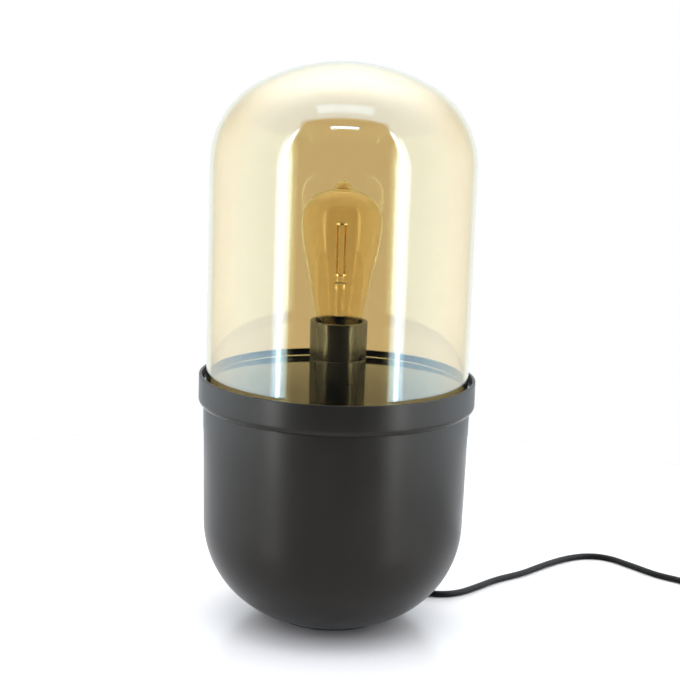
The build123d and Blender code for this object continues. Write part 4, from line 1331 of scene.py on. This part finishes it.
@dataclass
class Base:
    """The spun bowl, the collar on its rim and the deck on the collar's ledge."""

    foot_radius: float = 45.0
    turn_height: float = 78.5
    lean: float = math.radians(1.0)
    wall: float = 1.5
    skirt: float = 3.45
    collar_wall: float = 2.6
    collar_round: float = 5.0
    collar_lip: float = 0.6
    collar_edge: float = 0.7
    ledge: float = 4.5
    ledge_width: float = 9.4
    ledge_round: float = 0.3
    deck_edge: float = 0.4
    deck_foot: float = 0.2
    nipple_hole: float = 5.15
    turn_steps: int = 56
    collar_steps: int = 12
    segments: int = 192

    def side(self, depth: float) -> Section:
        """The bowl's section from its rim to the edge of its foot.

        Args:
            depth: how far the line lies below the outside.

        Returns:
            The line.
        """
        low, high = span("bowl_shell")
        down = (-math.sin(self.lean), -math.cos(self.lean))
        out = Vector((math.cos(self.lean), -math.sin(self.lean)))
        turn_radius = high.x - math.tan(self.lean) * (high.z - self.turn_height)
        chord = Vector((turn_radius - self.foot_radius, self.turn_height - low.z))
        radius = chord.length_squared / (2 * (chord.x * out.x + chord.y * out.y))
        centre = Vector((turn_radius, self.turn_height)) - out * radius
        rim = (high.x - depth / math.cos(self.lean), high.z)
        turn = (turn_radius - depth * out.x, self.turn_height - depth * out.y)
        height = low.z + depth
        foot = (centre.x + math.sqrt((radius - depth) ** 2 - (centre.y - height) ** 2), height)
        return [rim, turn, *tangent_arc(turn, down, foot, self.turn_steps)]

    def bowl(self) -> None:
        """Makes the bowl."""
        outside, inside = self.side(0.0), self.side(self.wall)
        section = [*outside, (0.0, outside[-1][1]), (0.0, inside[-1][1]), *reversed(inside)]
        turned("bowl", section, self.segments, BLACK_PAINT, Body.BASE, "bowl_shell")

    def collar(self) -> None:
        """Makes the collar with its ledge."""
        low, high = span("collar_ring")
        bore = high.x - self.skirt
        recess = high.x - self.collar_wall
        seat = span("bowl_shell")[1].z
        corners = [
            (bore + self.collar_lip, low.z, 0.0), (bore, low.z, 0.0), (bore, seat, 0.0),
            (recess - self.ledge_width, seat, self.ledge_round),
            (recess - self.ledge_width, seat + self.ledge, self.ledge_round),
            (recess, seat + self.ledge, 0.0), (recess, high.z, self.collar_edge),
            (high.x, high.z, self.collar_edge),
        ]
        start = (high.x, low.z + self.collar_round)
        lip = tangent_arc(start, (0, -1), (bore + self.collar_lip, low.z), self.collar_steps)[:-1]
        section = [*rounded(corners), start, *lip]
        turned("collar", section, self.segments, BLACK_PAINT, Body.BASE, "collar_ring")

    def deck(self) -> None:
        """Makes the glossy deck."""
        low, high = span("deck_plate")
        corners = [
            (self.nipple_hole, low.z, 0.0), (high.x, low.z, self.deck_foot),
            (high.x, high.z, self.deck_edge), (self.nipple_hole, high.z, 0.0),
        ]
        turned("deck", rounded(corners), self.segments, DECK_LACQUER, Body.BASE, "deck_plate")

    def build(self) -> None:
        """Makes the metal pieces of the base."""
        self.bowl()
        self.collar()
        self.deck()


# Glass dome


@dataclass
class Dome:
    """The amber glass dome: straight wall, round shoulder and a flatter crown."""

    wall: float = 3.0
    shoulder: float = 71.0
    crown: float = 140.0
    edge: float = 0.8
    foot: float = 9.0
    shoulder_steps: int = 40
    crown_steps: int = 28
    segments: int = 224

    def line(self, depth: float) -> Section:
        """The dome's section from the top of its straight wall to its crown.

        Args:
            depth: how far the line lies below the outside.

        Returns:
            The line.
        """
        high = span("glass_dome")[1]
        shoulder_radius = high.x - self.shoulder
        crown_height = high.z - self.crown
        rise = math.sqrt((self.crown - self.shoulder) ** 2 - shoulder_radius**2)
        share = (self.crown - depth) / (self.crown - self.shoulder)
        wall = (high.x - depth, crown_height + rise)
        meet = (shoulder_radius * share, crown_height + rise * share)
        return [
            wall, *tangent_arc(wall, (0, 1), meet, self.shoulder_steps),
            *tangent_arc(meet, (-rise, shoulder_radius), (0.0, high.z - depth), self.crown_steps),
        ]

    def build(self) -> None:
        """Makes the dome."""
        low, high = span("glass_dome")
        inner = high.x - self.wall
        rim = rounded([
            (inner, low.z, self.edge), (high.x, low.z, self.edge), (high.x, low.z + self.foot, 0),
            (inner, low.z + self.foot, 0),
        ])
        section = stepped([*rim[:-2], *self.line(0.0), *reversed(self.line(self.wall)), rim[0]])[:-1]
        turned("dome_glass", section, self.segments, AMBER_GLASS, Body.DOME, "glass_dome", SOFT_CREASE)


# Lamp holder


@dataclass
class Holder:
    """The black lamp holder: base and sleeve with a seam between them, and the threaded shell."""

    seam_radius: float = 22.55
    low_radius: float = 22.3
    wall: float = 2.2
    floor: float = 3.5
    boss_radius: float = 8.5
    boss_height: float = 3.0
    seat_height: float = 10.0
    seat_width: float = 2.5
    slip: float = 0.15
    skirt: float = 1.6
    mouth_radius: float = 19.0
    mouth_height: float = 5.5
    mouth_round: float = 1.2
    seam_round: float = 0.35
    edge: float = 0.6
    shell_bore: float = 13.0
    shell_wall: float = 0.4
    shell_foot: float = 8.5
    shell_rise: float = 1.2
    thread_low: float = 2.0
    thread_high: float = 0.6
    hole: float = 5.05
    foot_round: float = 0.25
    segments: int = 128

    def base(self) -> None:
        """Makes the holder's base."""
        low, high = span("holder_base")
        bore = self.seam_radius - self.wall
        seat = bore - self.seat_width
        inside = low.z + self.floor
        corners = [
            (self.hole, low.z, 0.0), (self.low_radius, low.z, self.foot_round),
            (self.seam_radius, high.z, self.seam_round), (bore, high.z, 0.0),
            (bore, low.z + self.seat_height, 0.0), (seat, low.z + self.seat_height, 0.0),
            (seat, inside, 0.0), (self.boss_radius, inside, 0.0),
            (self.boss_radius, inside + self.boss_height, 0.0),
            (self.hole, inside + self.boss_height, 0.0),
        ]
        turned("holder_cup", rounded(corners), self.segments, HOLDER_BLACK, Body.BASE, "holder_base")

    def sleeve(self) -> None:
        """Makes the holder's sleeve."""
        low, high = span("holder_sleeve")
        seam = span("holder_base")[1].z
        bore = self.seam_radius - self.wall
        core_radius = bore - self.slip
        skirt_bore = core_radius - self.skirt
        mouth = high.z - self.mouth_height
        corners = [
            (skirt_bore, low.z, 0.0), (core_radius, low.z, 0.0), (core_radius, seam, 0.0),
            (self.seam_radius, seam, self.seam_round), (high.x, high.z, self.edge),
            (self.mouth_radius, high.z, self.mouth_round), (self.mouth_radius, mouth, 0.0),
            (bore, mouth, 0.0), (bore, seam + self.wall + bore - skirt_bore, 0.0),
            (skirt_bore, seam + self.wall, 0.0),
        ]
        name = "holder_sleeve_shell"
        turned(name, rounded(corners), self.segments, HOLDER_BLACK, Body.BASE, "holder_sleeve")

    def shell(self) -> None:
        """Makes the threaded shell that the lamp's cap screws into."""
        low, high = span("screw_shell")
        radius = self.shell_bore + self.shell_wall
        below = [(self.shell_foot, low.z), (radius, low.z), (radius, low.z + self.shell_rise)]
        start, end = low.z + self.thread_low, high.z - self.thread_high
        work = Thread(wide=True).sleeve(below, radius, self.shell_wall, start, end, high.z)
        settle(finished("threaded_shell", work, SOFT_CREASE), BRASS, Body.BASE, "screw_shell")

    def build(self) -> None:
        """Makes the holder."""
        self.base()
        self.sleeve()
        self.shell()


# Lamp


@dataclass
class Bulb:
    """The amber lamp: heights are measured from the tip of its contact."""

    wall: float = 0.9
    neck_radius: float = 12.35
    neck_low: float = 16.0
    neck_high: float = 25.4
    neck_round: float = 4.0
    throat_radius: float = 18.2
    throat_height: float = 33.5
    throat_round: float = 9.0
    cone_radius: float = 29.4
    cone_height: float = 87.5
    belly_radius: float = 31.86
    belly_height: float = 111.5
    shoulder: float = 22.0
    crown: float = 45.0
    tip_radius: float = 8.2
    tip_top_radius: float = 6.2
    tip_rise: float = 3.3
    tip_round: float = 3.0
    cap_radius: float = 12.75
    cap_wall: float = 0.35
    cap_floor: float = 9.4
    cap_turn: float = 5.4
    cap_bevel: float = 0.6
    cap_bevel_height: float = 0.5
    thread_low: float = 0.6
    thread_high: float = 2.4
    tip_foot_way: Pair = (-1.0, 0.9)
    tip_top_way: Pair = (-0.5, 1.0)
    neck_steps: int = 10
    belly_steps: int = 12
    shoulder_steps: int = 18
    crown_steps: int = 10
    tip_steps: int = 8
    segments: int = 128

    def height(self, above_tip: float) -> float:
        """Height above the floor of a height in the lamp."""
        return span("bulb_eyelet")[0].z + above_tip

    def line(self) -> Section:
        """The glass's outline from its neck to its top.

        Returns:
            The line.
        """
        side = self.belly_radius - self.shoulder
        rise = math.sqrt((self.crown - self.shoulder) ** 2 - side**2)
        share = self.crown / (self.crown - self.shoulder)
        centre = self.belly_height - rise
        meet = (side * share, centre + rise * share)
        foot = (self.tip_radius, centre + math.sqrt(self.crown**2 - self.tip_radius**2))
        tip = (self.tip_top_radius, foot[1] + self.tip_rise)
        cone = (self.cone_radius - self.throat_radius, self.cone_height - self.throat_height)
        lower = rounded([
            (self.neck_radius, self.neck_low, 0.0), (self.neck_radius, self.neck_high, self.neck_round),
            (self.throat_radius, self.throat_height, self.throat_round),
            (self.cone_radius, self.cone_height, 0.0),
        ], steps=self.neck_steps)
        belly = (self.belly_radius, self.belly_height)
        line = [
            *lower,
            *tangent_arc(lower[-1], cone, belly, self.belly_steps),
            *tangent_arc(belly, (0, 1), meet, self.shoulder_steps),
            *tangent_arc(meet, (-rise, side), foot, self.crown_steps),
        ]
        # the drawn-off tip runs hollow out of the crown and ends round
        line += tangent_arc(foot, self.tip_foot_way, tip, self.tip_steps)
        line += tangent_arc(tip, self.tip_top_way, (0.0, tip[1] + self.tip_round), self.tip_steps)
        return [(radius, self.height(height)) for radius, height in line]

    def glass(self) -> None:
        """Makes the glass."""
        outside = stepped(self.line())
        section = [*outside, *reversed(inset(outside, self.wall))]
        turned("bulb_envelope", section, self.segments, BULB_AMBER, Body.BULB, "bulb_glass", SOFT_CREASE)

    def cap(self) -> None:
        """Makes the cap with its rolled thread."""
        low, high = span("bulb_cap")
        turn = self.height(self.cap_turn)
        below = [
            (self.cap_floor, low.z), (self.cap_radius - self.cap_bevel, turn - self.cap_bevel_height),
            (self.cap_radius, turn),
        ]
        start, end = turn + self.thread_low, high.z - self.thread_high
        work = Thread().sleeve(below, self.cap_radius, self.cap_wall, start, end, high.z)
        settle(finished("threaded_cap", work, SOFT_CREASE), CAP_METAL, Body.BULB, "bulb_cap")

    def build(self) -> None:
        """Makes the lamp."""
        self.glass()
        self.cap()


def main() -> None:
    """Builds the lamp and its studio, the camera and the lead first."""
    logging.basicConfig(level=logging.INFO, format="%(name)s: %(message)s")
    Viewpoint().place()
    dress_nodes()
    Lead().build()
    Studio().build()
    Base().build()
    Dome().build()
    Holder().build()
    Bulb().build()


if __name__ == "__main__":
    main()
